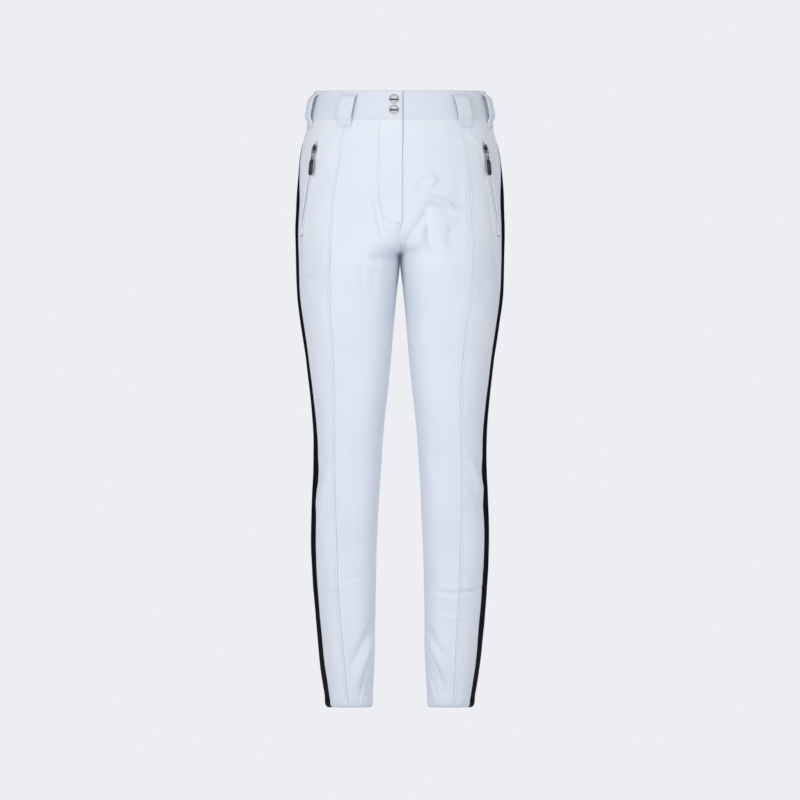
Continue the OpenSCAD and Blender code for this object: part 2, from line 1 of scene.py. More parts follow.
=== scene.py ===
"""Slim ski pants, held open at the waist as on an unseen wearer.

Lengths are millimetres until a mesh is made; the stage, lights and camera are in metres. The cloth
is one smooth surface, skin(turn, drop): turn runs from 0 at the centre front or inseam over 1 at
the side to 2 at the centre back, drop is the distance below the waist, and each half of the
garment mirrors the other.
"""
import itertools
import json
import math

import bpy
import numpy as np
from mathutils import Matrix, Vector


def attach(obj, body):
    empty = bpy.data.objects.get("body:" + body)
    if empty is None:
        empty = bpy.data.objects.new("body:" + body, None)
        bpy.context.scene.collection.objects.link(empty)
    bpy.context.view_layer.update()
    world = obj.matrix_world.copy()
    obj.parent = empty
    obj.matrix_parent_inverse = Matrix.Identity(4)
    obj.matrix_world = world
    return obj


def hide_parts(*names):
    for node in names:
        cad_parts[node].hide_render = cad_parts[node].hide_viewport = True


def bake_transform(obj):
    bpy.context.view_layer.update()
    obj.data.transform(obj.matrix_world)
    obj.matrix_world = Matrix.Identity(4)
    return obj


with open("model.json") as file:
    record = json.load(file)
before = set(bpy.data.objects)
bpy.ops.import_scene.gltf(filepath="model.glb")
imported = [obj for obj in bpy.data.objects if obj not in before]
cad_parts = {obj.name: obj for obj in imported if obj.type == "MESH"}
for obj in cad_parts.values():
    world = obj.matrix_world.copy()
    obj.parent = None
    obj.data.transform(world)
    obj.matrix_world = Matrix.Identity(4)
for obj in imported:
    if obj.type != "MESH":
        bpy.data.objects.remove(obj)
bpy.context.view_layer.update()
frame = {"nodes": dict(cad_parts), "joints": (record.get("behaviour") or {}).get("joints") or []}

MM = 0.001
LEFT, RIGHT = 1, -1
SIDES = {"right": RIGHT, "left": LEFT}

# ---------------------------------------------------------------- the cloth's surface
RISE, PANTS_H, BAND_H, HEM_H = 275.0, 1020.0, 48.0, 8.0
FLY_DROP, FLY_LAP, FLY_X = 221.0, 4.0, 36.0
FRONT_CURVE, BACK_CURVE = RISE - FLY_DROP, 95.0
CENTRE_GAP = 0.06  # keeps the two halves apart where they meet
CROTCH_POWER = 2.3  # of the front crotch's curve; 2 would be a quarter circle
LEG_FLAT = 0.5  # share of a leg's half width that is flat in front and behind
LEG_HALF_ROUND = 130.0  # about half the way round a leg
HALVINGS = 26
# drop, half width, half gap at the inseam, depth in front, depth behind, y of the side, princess x
STATIONS = np.array([
    [0, 140, 0, 102.91, 98.09, 0, 94],
    [48, 150.89, 0, 106, 104, 0, 97],
    [115, 166.07, 0, 110, 113, 1, 106],
    [215, 173, 0, 115.91, 122.09, 3, 116],
    [275, 172, 0, 116, 116, 5, 118],
    [345.775, 169, 7, 98, 98, 4, 115],
    [444.86, 155.9, 15, 84, 84, 2, 106],
    [576.725, 143, 28, 66, 66, -2, 104],
    [745.095, 147, 38, 60, 68, 4, 103],
    [841.2, 142, 40, 58, 64, 4, 99],
    [940.285, 133, 42, 56, 58, 3, 93],
    [1020, 121, 46, 54, 54, 2, 88],
])
SIDE, INSEAM, FRONT, BACK, SIDE_Y = 1, 2, 3, 4, 5
# Where each front's princess seam lies: drops, then distances from the centre
SEAMS = {
    RIGHT: ((48, 63, 115, 188, 247, 313, 363, 412, 478, 594, 676, 759, 825, 891, 957, 1020),
            (92, 93, 100, 110, 114, 116.3, 115.8, 112.2, 109, 108.6, 107.3, 104.6, 102.3, 97.4,
             91, 85.5)),
    LEFT: ((48, 71, 109, 168, 247, 297, 363, 412, 478, 511, 577, 627, 693, 759, 808, 874, 940,
            1020),
           (101, 105, 110.5, 116, 120.2, 120.2, 113.9, 107.3, 101.2, 100.2, 101.2, 102.6, 101.6,
            100.7, 98.3, 95, 91.7, 89)),
}


def mix(a, b, w):
    return a + (b - a) * w


def ease(v):
    v = np.clip(v, 0, 1)
    return v * v * (3 - 2 * v)


def unit(v):
    v = np.asarray(v, float)
    return v / np.maximum(np.linalg.norm(v, axis=-1, keepdims=True), 1e-9)


def shape(drop, column):
    """A station column at any drop, on a smooth curve through the stations."""
    x, y = STATIONS[:, 0], STATIONS[:, column]
    before = np.maximum(np.arange(len(x)) - 1, 0)
    after = np.minimum(np.arange(len(x)) + 1, len(x) - 1)
    slope = (y[after] - y[before]) / (x[after] - x[before])
    drop = np.asarray(drop, float)
    i = np.clip(np.searchsorted(x, drop) - 1, 0, len(x) - 2)
    h = x[i + 1] - x[i]
    u = (drop - x[i]) / h
    return ((1 + 2 * u) * (1 - u) ** 2 * y[i] + u * (1 - u) ** 2 * h * slope[i]
            + u ** 2 * (3 - 2 * u) * y[i + 1] - u ** 2 * (1 - u) * h * slope[i + 1])


def skin(turn, drop, out=0.0):
    """Points of the left half; out moves them out of the cloth."""
    turn, drop, out = np.broadcast_arrays(*(np.asarray(v, float) for v in (turn, drop, out)))
    front = turn <= 1
    t = np.where(front, turn, 2 - turn)
    # w falls from 1, where the crotch's curve starts, to 0 at the crotch itself
    u = np.clip((RISE - drop) / np.where(front, FRONT_CURVE, BACK_CURVE), 0, 1)
    w = np.where(front, (1 - (1 - u) ** CROTCH_POWER) ** (1 / CROTCH_POWER),
                 np.sqrt(1 - (1 - u) ** 2))
    far = shape(drop, SIDE) + out
    near = np.maximum(np.where(drop > RISE, shape(drop, INSEAM), 0), CENTRE_GAP) - out * (1 - w)
    reach = np.where(front, shape(drop, FRONT), shape(drop, BACK)) + out
    whole = np.clip((RISE - drop) / FRONT_CURVE, 0, 1)
    across = mix((1 - np.cos(np.pi * t)) / 2, np.sin(np.pi / 2 * t), whole)
    flat = LEG_FLAT * ease((drop - 100) / 330)
    side = np.sqrt(np.maximum(1 - (np.maximum(np.abs(across) - flat, 0) / (1 - flat)) ** 2, 0))
    # the front turns in tightly at the inner thigh, and less so at the knee
    tight = 2 + 1.7 * ease((drop - 180) / 70) * (1 - 0.45 * ease((drop - 320) / 220))
    tight = np.where(front, tight, 2)
    rise = w ** 2 * np.where(front, ease(u / 0.35), 1)
    inseam = np.sqrt(1 - (1 - rise) * np.maximum(1 - 2 * np.abs(across), 0) ** tight)
    y = shape(drop, SIDE_Y) + np.where(front, -1, 1) * reach * side * inseam
    return np.stack([near + (far - near) * across, y, -drop], -1)


def normal(turn, drop):
    """The left half's outward direction."""
    turn, drop = np.broadcast_arrays(np.asarray(turn, float), np.asarray(drop, float))
    e = 0.004
    du = skin(np.minimum(turn + e, 2), drop) - skin(np.where(turn < e, turn, turn - e), drop)
    dv = skin(turn, np.minimum(drop + 0.5, PANTS_H)) - skin(turn, np.maximum(drop - 0.5, 0))
    return unit(np.cross(dv, du))


def halved(beyond, low, high):
    """Where beyond() turns true between low and high."""
    for _ in range(HALVINGS):
        middle = (low + high) / 2
        past = beyond(middle)
        low, high = np.where(past, low, middle), np.where(past, middle, high)
    return (low + high) / 2


def turn_at(x, drop):
    """The turn at which the front of the cloth reaches x."""
    x, drop = np.broadcast_arrays(np.asarray(x, float), np.asarray(drop, float))
    return halved(lambda turn: skin(turn, drop)[..., 0] >= x,
                  np.full(x.shape, -0.3), np.ones(x.shape))


def side_turn(distance, drop, behind):
    """The turn at which the cloth is a distance in front of the side, or behind it."""
    def near(turn):
        y = skin(2 - turn if behind else turn, drop)[..., 1]
        return np.abs(y - shape(drop, SIDE_Y)) <= distance
    turn = halved(near, np.full(np.shape(drop), 0.4), np.ones(np.shape(drop)))
    return 2 - turn if behind else turn


# ---------------------------------------------------------------- folds
GRADIENTS = unit(np.random.default_rng(11).normal(size=(256, 3)))
SHUFFLE = np.random.default_rng(12).permutation(256)


def noise3(p):
    """Smooth gradient noise, about -0.6 to 0.6."""
    p = np.asarray(p, float)
    cell = np.floor(p).astype(int)
    f = p - cell
    u = f * f * f * (f * (f * 6 - 15) + 10)
    total = np.zeros(p.shape[:-1])
    for corner in itertools.product((0, 1), repeat=3):
        c = cell + corner
        h = SHUFFLE[(SHUFFLE[(SHUFFLE[c[..., 0] & 255] + c[..., 1]) & 255] + c[..., 2]) & 255]
        weight = np.prod(np.where(np.array(corner) == 1, u, 1 - u), -1)
        total += weight * np.sum(GRADIENTS[h] * (f - corner), -1)
    return total


# (side, points as (distance from the centre, drop), half width, height): a fold along a line,
# seen from the front; a negative height is a valley
FRONT_FOLDS = [
    (LEFT, [(0, 272), (12, 250), (25, 231), (40, 208), (51, 190)], 6, -4.2),
    (LEFT, [(54, 240), (61, 226), (74, 226), (82, 244)], 6, 2.0),
    (LEFT, [(46, 190), (48, 222), (50, 254), (66, 290)], 8, -4.6),
    (LEFT, [(28, 184), (44, 179), (66, 182), (96, 197)], 5, 3.4),
    (LEFT, [(34, 196), (52, 192), (70, 196), (90, 207)], 4, -2.6),
    (LEFT, [(12, 168), (32, 145), (50, 139), (57, 148), (43, 164), (33, 178)], 5, 2.3),
    (LEFT, [(20, 262), (34, 240), (42, 222)], 6, 1.8),
    (LEFT, [(74, 226), (85, 246), (88, 266)], 8, -1.6),
    (RIGHT, [(46, 160), (39, 190), (35, 214), (28, 236), (22, 252)], 6, -3.4),
    (RIGHT, [(54, 276), (36, 280), (20, 278), (0, 270)], 5.5, -3.4),
    (RIGHT, [(54, 287), (36, 290), (16, 285)], 8, 1.0),
    (RIGHT, [(66, 284), (62, 308), (56, 340)], 7, -1.5),
    (RIGHT, [(42, 290), (43, 314), (44, 348)], 8, -1.5),
    (RIGHT, [(24, 60), (21, 100), (17, 150)], 4.5, -0.5),
    (RIGHT, [(20, 232), (12, 248), (4, 262)], 7, 0.9),
    # ripples under the belt loops and beside the pockets
    (LEFT, [(80, 62), (98, 70), (118, 86)], 4, -0.5),
    (LEFT, [(104, 66), (122, 78), (136, 98)], 4, 0.5),
    (LEFT, [(146, 196), (152, 214), (156, 236)], 4, -0.6),
    (LEFT, [(152, 262), (158, 278), (160, 296)], 3.5, -0.9),
    (RIGHT, [(104, 62), (122, 76), (134, 96)], 5, -0.5),
    # outer sides of the knees
    (RIGHT, [(116, 612), (124, 642), (132, 682), (135, 706)], 7, 1.4),
    (RIGHT, [(126, 606), (136, 632), (143, 664)], 8, -1.0),
    (RIGHT, [(112, 664), (122, 690), (131, 726)], 9, -1.1),
    (RIGHT, [(60, 606), (80, 616), (100, 612)], 11, -0.6),
    (LEFT, [(116, 604), (122, 624), (130, 650), (136, 676)], 6.5, 1.5),
    (LEFT, [(126, 602), (136, 630), (143, 660)], 7, -1.0),
    (LEFT, [(120, 640), (130, 672), (138, 704)], 8, -0.9),
    (LEFT, [(48, 600), (66, 610), (86, 618)], 11, -0.9),
    # shins
    (RIGHT, [(54, 797), (66, 803), (80, 811), (100, 818)], 2.8, -1.0),
    (RIGHT, [(56, 805), (72, 811), (94, 822), (126, 822)], 3, 0.7),
    (RIGHT, [(62, 845), (78, 851), (94, 852)], 3, -0.45),
    (LEFT, [(48, 812), (68, 821), (92, 824), (118, 821), (140, 812)], 2.8, 0.9),
    (LEFT, [(48, 819), (66, 829), (92, 832.5), (118, 829), (141, 820)], 2.8, -1.3),
    (LEFT, [(52, 828), (72, 838), (96, 841), (124, 836)], 3.2, 0.8),
    (LEFT, [(60, 856), (82, 864), (104, 865), (128, 857)], 2.8, -0.7),
    (LEFT, [(62, 864), (84, 872), (104, 873), (126, 866)], 3, 0.5),
    (LEFT, [(72, 876), (92, 881), (112, 879)], 2.6, -0.45),
    # diagonals over the ankles
    (RIGHT, [(44, 878), (54, 902), (68, 930), (84, 962)], 7, -2.8),
    (RIGHT, [(44, 902), (54, 928), (66, 958), (80, 1000)], 7.5, 3.0),
    (RIGHT, [(47, 926), (54, 954), (62, 986), (68, 1012)], 3, -2.2),
    (RIGHT, [(46, 968), (52, 990), (57, 1010)], 5, -1.6),
    (LEFT, [(43, 880), (52, 904), (64, 926), (82, 948)], 6, -2.6),
    (LEFT, [(46, 902), (58, 928), (72, 954), (86, 988)], 7, 3.0),
    (LEFT, [(44, 908), (53, 938), (64, 964), (76, 1000)], 2.8, -2.4),
    (LEFT, [(46, 932), (56, 966), (66, 992), (74, 1010)], 5.5, -1.8),
    (LEFT, [(47, 962), (55, 984), (62, 1008)], 2.6, -1.6),
]
BACK_FOLDS = [
    (LEFT, [(10, 262), (34, 284), (70, 300), (110, 296), (140, 280)], 8, -2.2),
    (LEFT, [(26, 304), (62, 322), (104, 318), (132, 304)], 8, -1.2),
    (LEFT, [(20, 284), (60, 310), (110, 306)], 9, 1.1),
    (LEFT, [(6, 96), (24, 120), (52, 134)], 8, -0.8),
    (LEFT, [(34, 560), (64, 574), (100, 572), (134, 556)], 6, -1.8),
    (LEFT, [(36, 578), (70, 590), (104, 588), (132, 576)], 6, 1.3),
    (LEFT, [(40, 600), (74, 610), (112, 600)], 6, -1.3),
    (LEFT, [(44, 536), (76, 548), (112, 540)], 7, -1.0),
    (LEFT, [(50, 892), (80, 904), (116, 890)], 7, -1.1),
    (LEFT, [(54, 936), (84, 950), (118, 934)], 7, -1.2),
    (RIGHT, [(8, 266), (38, 290), (76, 304), (118, 294)], 8, -2.0),
    (RIGHT, [(30, 312), (68, 326), (110, 316)], 8, -1.3),
    (RIGHT, [(24, 292), (64, 316), (112, 304)], 9, 1.0),
    (RIGHT, [(8, 108), (30, 126), (60, 132)], 8, -0.7),
    (RIGHT, [(34, 570), (70, 580), (106, 570), (134, 552)], 6, -1.7),
    (RIGHT, [(36, 588), (72, 598), (108, 586)], 6, 1.2),
    (RIGHT, [(40, 612), (78, 616), (114, 604)], 6, -1.1),
    (RIGHT, [(44, 545), (76, 552), (116, 536)], 7, -1.0),
    (RIGHT, [(50, 900), (84, 908), (116, 900)], 7, -1.2),
    (RIGHT, [(54, 946), (86, 952), (116, 944)], 7, -1.0),
]

FOLD_GAIN = 1.8
# height, pace along x, y and z, and shift of the three sizes of random unevenness
WRINKLES = ((1.5, (0.016, 0.016, 0.0085), 7.3), (0.7, (0.045, 0.045, 0.022), 31.7),
            (0.16, (0.16, 0.16, 0.11), 3.1))


def fold_line(x, d, points):
    """Distance from a line of points and how far along it, from 0 to 1."""
    points = np.array(points, float)
    lengths = np.linalg.norm(np.diff(points, axis=0), axis=1)
    starts = np.concatenate([[0], np.cumsum(lengths)])
    best, along = np.full(x.shape, 1e9), np.zeros(x.shape)
    for a, b, start, length in zip(points[:-1], points[1:], starts, lengths):
        u = np.clip(((x - a[0]) * (b - a)[0] + (d - a[1]) * (b - a)[1]) / length ** 2, 0, 1)
        far = np.hypot(x - a[0] - u * (b - a)[0], d - a[1] - u * (b - a)[1])
        nearer = far < best
        best, along = np.where(nearer, far, best), np.where(nearer, start + u * length, along)
    return best, along / starts[-1]


def fold_height(side, turn, drop):
    """How far the cloth stands out of its smooth surface."""
    p = skin(turn, drop)
    n = normal(turn, drop)
    x, height = p[..., 0], np.zeros(p.shape[:-1])
    for folds, facing in ((FRONT_FOLDS, -n[..., 1]), (BACK_FOLDS, n[..., 1])):
        toward = ease(facing * 2.2 + 0.35)
        for at, points, width, tall in folds:
            if at != side:
                continue
            low = min(q[1] for q in points) - 4 * width
            high = max(q[1] for q in points) + 4 * width
            near = (drop > low) & (drop < high)
            if not near.any():
                continue
            far, along = fold_line(x[near], drop[near], points)
            swell = ease(along / 0.3) * ease((1 - along) / 0.3) * 0.85 + 0.15
            height[near] += FOLD_GAIN * tall * np.exp(-(far / width) ** 2) * swell * toward[near]
    world = p * (side, 1, 1)
    calm = ease((drop - BAND_H - 6) / 60) * ease((PANTS_H - HEM_H - drop) / 30)
    for tall, pace, shift in WRINKLES:
        height += tall * noise3(world * pace + shift) * calm
    # the pocketing shows faintly through the front
    within = (turn < 1) * (314 - drop - 0.011 * (x - 130) ** 2)
    bag = ease((x - 98) / 9) * ease((166 - x) / 6) * ease(within / 4)
    height += 1.4 * bag * ease((drop - 120) / 60)
    # gathers above the hem's elastic
    around = np.pi * turn * 22
    gather = np.sin(around + 2.1 * np.sin(around * 0.31 + side))
    gather += 0.5 * np.sin(around * 1.7 + 1.3 * side)
    height += 0.5 * gather * ease((drop - 984) / 34)
    # a dip along the waistband's seam
    return height - 0.25 * np.exp(-((drop - BAND_H - 2) / 5) ** 2)


def fly_lift(x, drop):
    """How far the right front stands forward, to lie over the left at the fly."""
    high = 2.4 + 1.6 * (1 - ease((drop - 50) / 80))
    return high * ease((72 - x) / 42) * (1 - ease((drop - FLY_DROP) / 20))


def band_lift(x, drop):
    """The same for the waistband, whatever the drop."""
    return 4.4 * ease((88 - x) / 58)


def cloth(side, turn, drop, out=0.0, lift=None, folds=1.0):
    """Points on one half of the garment, folds included."""
    turn, drop, out = np.broadcast_arrays(*(np.asarray(v, float) for v in (turn, drop, out)))
    p = skin(turn, drop, out)
    if lift is not None:
        p[..., 1] -= np.where(turn < 1, lift(p[..., 0], drop), 0)
    if folds:
        p += normal(turn, drop) * (folds * fold_height(side, turn, drop))[..., None]
        # the inner legs never reach past the centre
        between = (drop > RISE - 12) & (drop < RISE + 260)
        p[..., 0] = np.where(between, np.maximum(p[..., 0], CENTRE_GAP), p[..., 0])
    return p * (side, 1, 1)


# ---------------------------------------------------------------- meshes
def put(name, data):
    """A new object in the scene."""
    thing = bpy.data.objects.new(name, data)
    bpy.context.scene.collection.objects.link(thing)
    return thing


def finish_mesh(name, verts, faces, material, body=None, uv=None, sharp=38):
    """A new piece from millimetre points, smooth but for its sharp edges."""
    mesh = bpy.data.meshes.new(name)
    verts = (np.asarray(verts, float) * MM).tolist()
    mesh.from_pydata(verts, [], [list(map(int, f)) for f in faces])
    if uv is not None:
        layer = mesh.uv_layers.new(name="cloth")
        corner = np.empty(len(mesh.loops), np.int32)
        mesh.loops.foreach_get("vertex_index", corner)
        layer.data.foreach_set("uv", (np.asarray(uv, np.float32)[corner] * MM).ravel())
    mesh.materials.append(material)
    mesh.shade_smooth()
    mesh.set_sharp_from_angle(angle=math.radians(sharp))
    mesh.update()
    piece = put(name, mesh)
    if body:
        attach(piece, body)
    return piece


def grid_faces(rows, cols, around, kept, flip):
    """Quads of a closed double grid, and the walls round every edge of what is kept."""
    wide = cols if around else cols - 1
    kept = np.ones((rows - 1, wide), bool) if kept is None else kept
    at = lambda r, c: r * cols + c % cols
    inside = rows * cols
    r, c = np.nonzero(kept)
    outer = np.stack([at(r, c), at(r + 1, c), at(r + 1, c + 1), at(r, c + 1)], 1)
    faces = [outer, outer[:, ::-1] + inside]

    def walls(mask, down, right, turned):
        r, c = np.nonzero(mask)
        a, b = at(r, c), at(r + down, c + right)
        quad = np.stack([a, b, b + inside, a + inside], 1)
        faces.append(quad[:, ::-1] if turned else quad)

    no_row, no_column = np.zeros((1, wide), bool), np.zeros((rows - 1, 1), bool)
    above, below = np.vstack([no_row, kept]), np.vstack([kept, no_row])
    walls(below & ~above, 0, 1, False)
    walls(above & ~below, 0, 1, True)
    before = np.hstack([np.roll(kept, 1, 1), no_column] if around else [no_column, kept])
    after = np.hstack([kept, no_column])
    walls(after & ~before, 1, 0, True)
    walls(before & ~after, 1, 0, False)
    faces = np.concatenate(faces)
    return faces[:, ::-1] if flip else faces


def double_sheet(name, side, outer, inner, run, drops, material, body, around=False, kept=None):
    """A thin closed mesh between two grids of points, with its flat shape as the texture's."""
    faces = grid_faces(*run.shape, around, kept, side == RIGHT)
    verts = np.concatenate([outer.reshape(-1, 3), inner.reshape(-1, 3)])
    uv = np.tile(np.stack([run.ravel(), -drops.ravel()], 1), (2, 1))
    if kept is not None:  # points inside a hole are dropped with its faces
        used = np.unique(faces)
        place = np.full(len(verts), -1)
        place[used] = np.arange(len(used))
        verts, uv, faces = verts[used], uv[used], place[faces]
    return finish_mesh(name, verts, faces, material, body, uv)


# Distances of a panel's first columns from its edge: everywhere, and where a piece folds
NEAR, NEAR_FOLD = (0, 0.3, 0.7, 1.2, 1.9, 2.8, 3.8, 5.0), (0, 0.8, 1.8, 3.2)


def spaced(length, count, near):
    """Distances along each row: close together at both ends, even between."""
    near = np.array(near, float)
    length = np.asarray(length, float)
    near_by = near[None] * np.minimum(1, 0.42 * length / max(near[-1], 1e-6))[:, None]
    a, b = near_by, length[:, None] - near_by[:, ::-1]
    middle = a[:, -1:] + (b[:, :1] - a[:, -1:]) * np.linspace(0, 1, count + 2)[None, 1:-1]
    return np.concatenate([a, middle, b], 1)


def drops_between(top, bottom, pitch=3.2):
    return top + spaced([bottom - top], int((bottom - top) / pitch), NEAR)[0]


def lay_out(drops, anchors, counts, nears):
    """Turns of a panel's columns, and their distances in mm from each anchor line."""
    anchors = [np.broadcast_to(np.asarray(a, float), drops.shape) for a in anchors]
    share = np.linspace(0, 1, 241)
    table = anchors[0][:, None] + (anchors[-1] - anchors[0])[:, None] * share
    p = skin(table, drops[:, None])
    run = np.concatenate(
        [np.zeros((len(drops), 1)), np.cumsum(np.linalg.norm(np.diff(p, axis=1), axis=2), 1)], 1)
    marks = np.stack([
        [np.interp(a[i], table[i], run[i]) for i in range(len(drops))] for a in anchors], 1)
    parts = []
    for k, (count, near) in enumerate(zip(counts, nears)):
        part = marks[:, k:k + 1] + spaced(marks[:, k + 1] - marks[:, k], count, near)
        parts.append(part if k == 0 else part[:, 1:])
    s = np.concatenate(parts, 1)
    turns = np.stack([np.interp(s[i], run[i], table[i]) for i in range(len(drops))])
    return turns, s[:, :, None] - marks[:, None, :], s


def rounded(distance, radius=1.2, deep=0.7):
    """How far a turned edge falls away at a distance from it."""
    u = np.clip(distance / radius, 0, 1)
    return -deep * (1 - np.sqrt(1 - (1 - u) ** 2))


def groove(distance, deep=0.22, width=0.55):
    return -deep * np.exp(-(distance / width) ** 2)


def panel(name, side, drops, anchors, counts, material, nears=None, relief=None, thick=1.2,
          out=0.0, lift=None, hole=None, body="garment", folds=1.0):
    """One cut piece of cloth as a closed, thin mesh."""
    turns, away, run = lay_out(drops, anchors, counts, nears or [NEAR] * len(counts))
    d = np.broadcast_to(drops[:, None], turns.shape)
    height = np.full(turns.shape, float(out))
    height += rounded(np.abs(away[:, :, 0])) + rounded(np.abs(away[:, :, -1]))
    height += rounded(d - drops[0])
    height += rounded(drops[-1] - d)
    if relief is not None:
        height += relief(away, d)
    deep = thick(turns, d) if callable(thick) else thick
    outer, inner = (cloth(side, turns, d, h, lift, folds) for h in (height, height - deep))
    kept = None if hole is None else ~hole(away, d)
    return double_sheet(name, side, outer, inner, run, d, material, body, kept=kept)


def ring(name, side, drops, count, material, out, thick, ripple):
    """A band of cloth right round one leg."""
    around = np.linspace(0, 2, count, endpoint=False)
    turns = np.broadcast_to(around[None], (len(drops), count))
    d = np.broadcast_to(drops[:, None], turns.shape)
    height = out(d) if callable(out) else np.full(turns.shape, float(out))
    height = height + rounded(d - drops[0], 0.9, 0.5) + rounded(drops[-1] - d, 0.9, 0.5)
    height = height + ripple(turns, d)
    outer, inner = (cloth(side, turns, d, h) for h in (height, height - thick))
    return double_sheet(name, side, outer, inner, turns * LEG_HALF_ROUND, d, material,
                        "garment", around=True)


# A stitch is a bead of thread with pointed ends: share of its length, of its radius, and height
BEAD = ((-0.5, 0.0, -0.9), (-0.36, 1.0, 0.0), (0.36, 1.0, 0.0), (0.5, 0.0, -0.9))
BEAD_SIDES, BEAD_RAISED = 5, 0.05


def stitches_on(points, normals, pitch=3.0, length=2.2, radius=0.27):
    """Sewn stitches along a line of points: vertices and faces of small thread beads."""
    run = np.concatenate([[0], np.cumsum(np.linalg.norm(np.diff(points, axis=0), axis=1))])
    count = max(1, int(run[-1] / pitch))
    centre = (np.arange(count) + 0.5) * run[-1] / count
    at = lambda line, s: np.stack([np.interp(s, run, line[:, k]) for k in range(3)], -1)
    p, up = at(points, centre), unit(at(normals, centre))
    ahead = unit(at(points, np.minimum(centre + 0.6, run[-1]))
                 - at(points, np.maximum(centre - 0.6, 0)))
    across = unit(np.cross(up, ahead))
    angles = np.arange(BEAD_SIDES) * 2 * np.pi / BEAD_SIDES + 0.3
    verts = []
    for along, wide, high in BEAD:
        middle = p + ahead * (length * along) + up * (radius * (high + BEAD_RAISED))
        for angle in angles if wide else angles[:1]:
            verts.append(middle + radius * wide * (
                across * math.cos(angle) + up * math.sin(angle)))
    one = []
    for k in range(BEAD_SIDES):
        n = (k + 1) % BEAD_SIDES
        one.append([0, 1 + n, 1 + k, 1 + k])
        one.append([1 + k, 1 + n, 1 + BEAD_SIDES + n, 1 + BEAD_SIDES + k])
        one.append([1 + BEAD_SIDES + k, 1 + BEAD_SIDES + n, 1 + 2 * BEAD_SIDES, 1 + 2 * BEAD_SIDES])
    faces = np.array(one)[None] + (np.arange(count) * len(verts))[:, None, None]
    return np.stack(verts, 1).reshape(-1, 3), faces.reshape(-1, 4)


def sewn(name, lines, material, body="garment"):
    """One piece holding the stitches of several lines, each (points, normals)."""
    verts, faces, base = [], [], 0
    for points, normals, *rest in lines:
        v, f = stitches_on(points, normals, *rest)
        verts.append(v)
        faces.append(f + base)
        base += len(v)
    faces = [list(dict.fromkeys(f.tolist())) for f in np.concatenate(faces)]
    return finish_mesh(name, np.concatenate(verts), faces, material, body, sharp=180)


def line_on(side, turns, drops, out=0.1, lift=None):
    """Points and normals of a line on the cloth."""
    turns, drops = np.broadcast_arrays(np.asarray(turns, float), np.asarray(drops, float))
    return cloth(side, turns, drops, out, lift), normal(turns, drops) * (side, 1, 1)


def shifted(turns, drops, distance):
    """Turns moved by a distance in mm along the cloth, at each drop."""
    e = 0.002
    speed = np.linalg.norm(skin(turns + e, drops) - skin(turns - e, drops), axis=-1) / (2 * e)
    return turns + distance / speed


def loft(rings, caps=True):
    """The points of rings of equal length, and faces joining them."""
    count = len(rings[0])
    faces = []
    for low in range(0, (len(rings) - 1) * count, count):
        high = low + count
        for i in range(count):
            j = (i + 1) % count
            faces.append([low + i, low + j, high + j, high + i])
    if caps:
        faces.append(list(range(count))[::-1])
        faces.append([(len(rings) - 1) * count + i for i in range(count)])
    return np.concatenate(rings), faces


def joined(parts):
    """Several (points, faces) as one."""
    verts, faces, base = [], [], 0
    for v, f in parts:
        verts.append(np.asarray(v, float))
        faces += [[int(i) + base for i in face] for face in f]
        base += len(v)
    return np.concatenate(verts), faces


def pill(l, w, count=48, power=2.0, spot=(0, 0)):
    """Outline with round ends, long in y: points (y, z)."""
    angle = np.arange(count) * 2 * np.pi / count
    c, s = np.cos(angle), np.sin(angle)
    y = np.sign(s) * np.abs(s) ** (2 / power) * w / 2 + np.where(s >= 0, 1, -1) * (l - w) / 2
    z = np.sign(c) * np.abs(c) ** (2 / power) * w / 2
    return np.stack([y + spot[0], z + spot[1]], 1)


def pad(outline, low, high, bevel=0.3, dish=0.0):
    """A plate with rounded edges from an outline in y and z, between two x heights."""
    centre = outline.mean(0)
    size = np.linalg.norm(outline - centre, axis=1).max()
    grow = lambda by: centre + (outline - centre) * (1 - by / size)
    steps = [(bevel, low), (bevel * 0.35, low + bevel * 0.3), (0, low + bevel),
             (0, high - bevel), (bevel * 0.35, high - bevel * 0.3), (bevel, high)]
    if dish:
        steps += [(bevel + 0.7, high), (bevel + 1.0, high - dish)]
    rings = [np.column_stack([np.full(len(outline), x), grow(by)]) for by, x in steps]
    return loft(rings)


def tube(path, radius, sides=12, closed=False, flat=1.0):
    """A bar along a path of points; flat widens it to one side."""
    path = np.asarray(path, float)
    if closed:
        ahead = unit(np.roll(path, -1, 0) - np.roll(path, 1, 0))
    else:
        ahead = unit(np.gradient(path, axis=0))
    up = np.zeros_like(path)
    side = unit(np.cross(ahead[0], (0.31, 0.17, 0.93)))  # any direction across the start
    for i in range(len(path)):
        side = unit(side - ahead[i] * np.dot(side, ahead[i]))
        up[i] = side
    across = np.cross(ahead, up)
    angle = np.arange(sides) * 2 * np.pi / sides
    rings = [p + radius * (np.outer(np.cos(angle), u) + flat * np.outer(np.sin(angle), a))
             for p, u, a in zip(path, up, across)]
    return loft(rings + [rings[0]], caps=False) if closed else loft(rings)


def smooth_path(points, count=40):
    """A smooth curve through the points."""
    p = np.asarray(points, float)
    last = len(p) - 1
    out = []
    for t in np.linspace(0, last, count):
        i = int(min(math.floor(t), last - 1))
        f = t - i
        a, b, c, d = (p[min(max(k, 0), last)] for k in range(i - 1, i + 3))
        out.append(0.5 * (2 * b + (c - a) * f + (2 * a - 5 * b + 4 * c - d) * f ** 2
                          + (3 * b - a - 3 * c + d) * f ** 3))
    return np.array(out)


def lathe(profile, count, hollow=False):
    """Turns (radius, height) points about z; a hollow one's profile is a closed loop."""
    angle = np.arange(count) * 2 * np.pi / count
    rings = [np.stack([r * np.cos(angle), r * np.sin(angle), np.full(count, h)], 1)
             for r, h in profile]
    return loft(rings + [rings[0]], caps=False) if hollow else loft(rings)


def set_in(verts, origin, ex, ey, ez):
    return np.asarray(origin) + np.asarray(verts, float) @ np.array([ex, ey, ez], float)


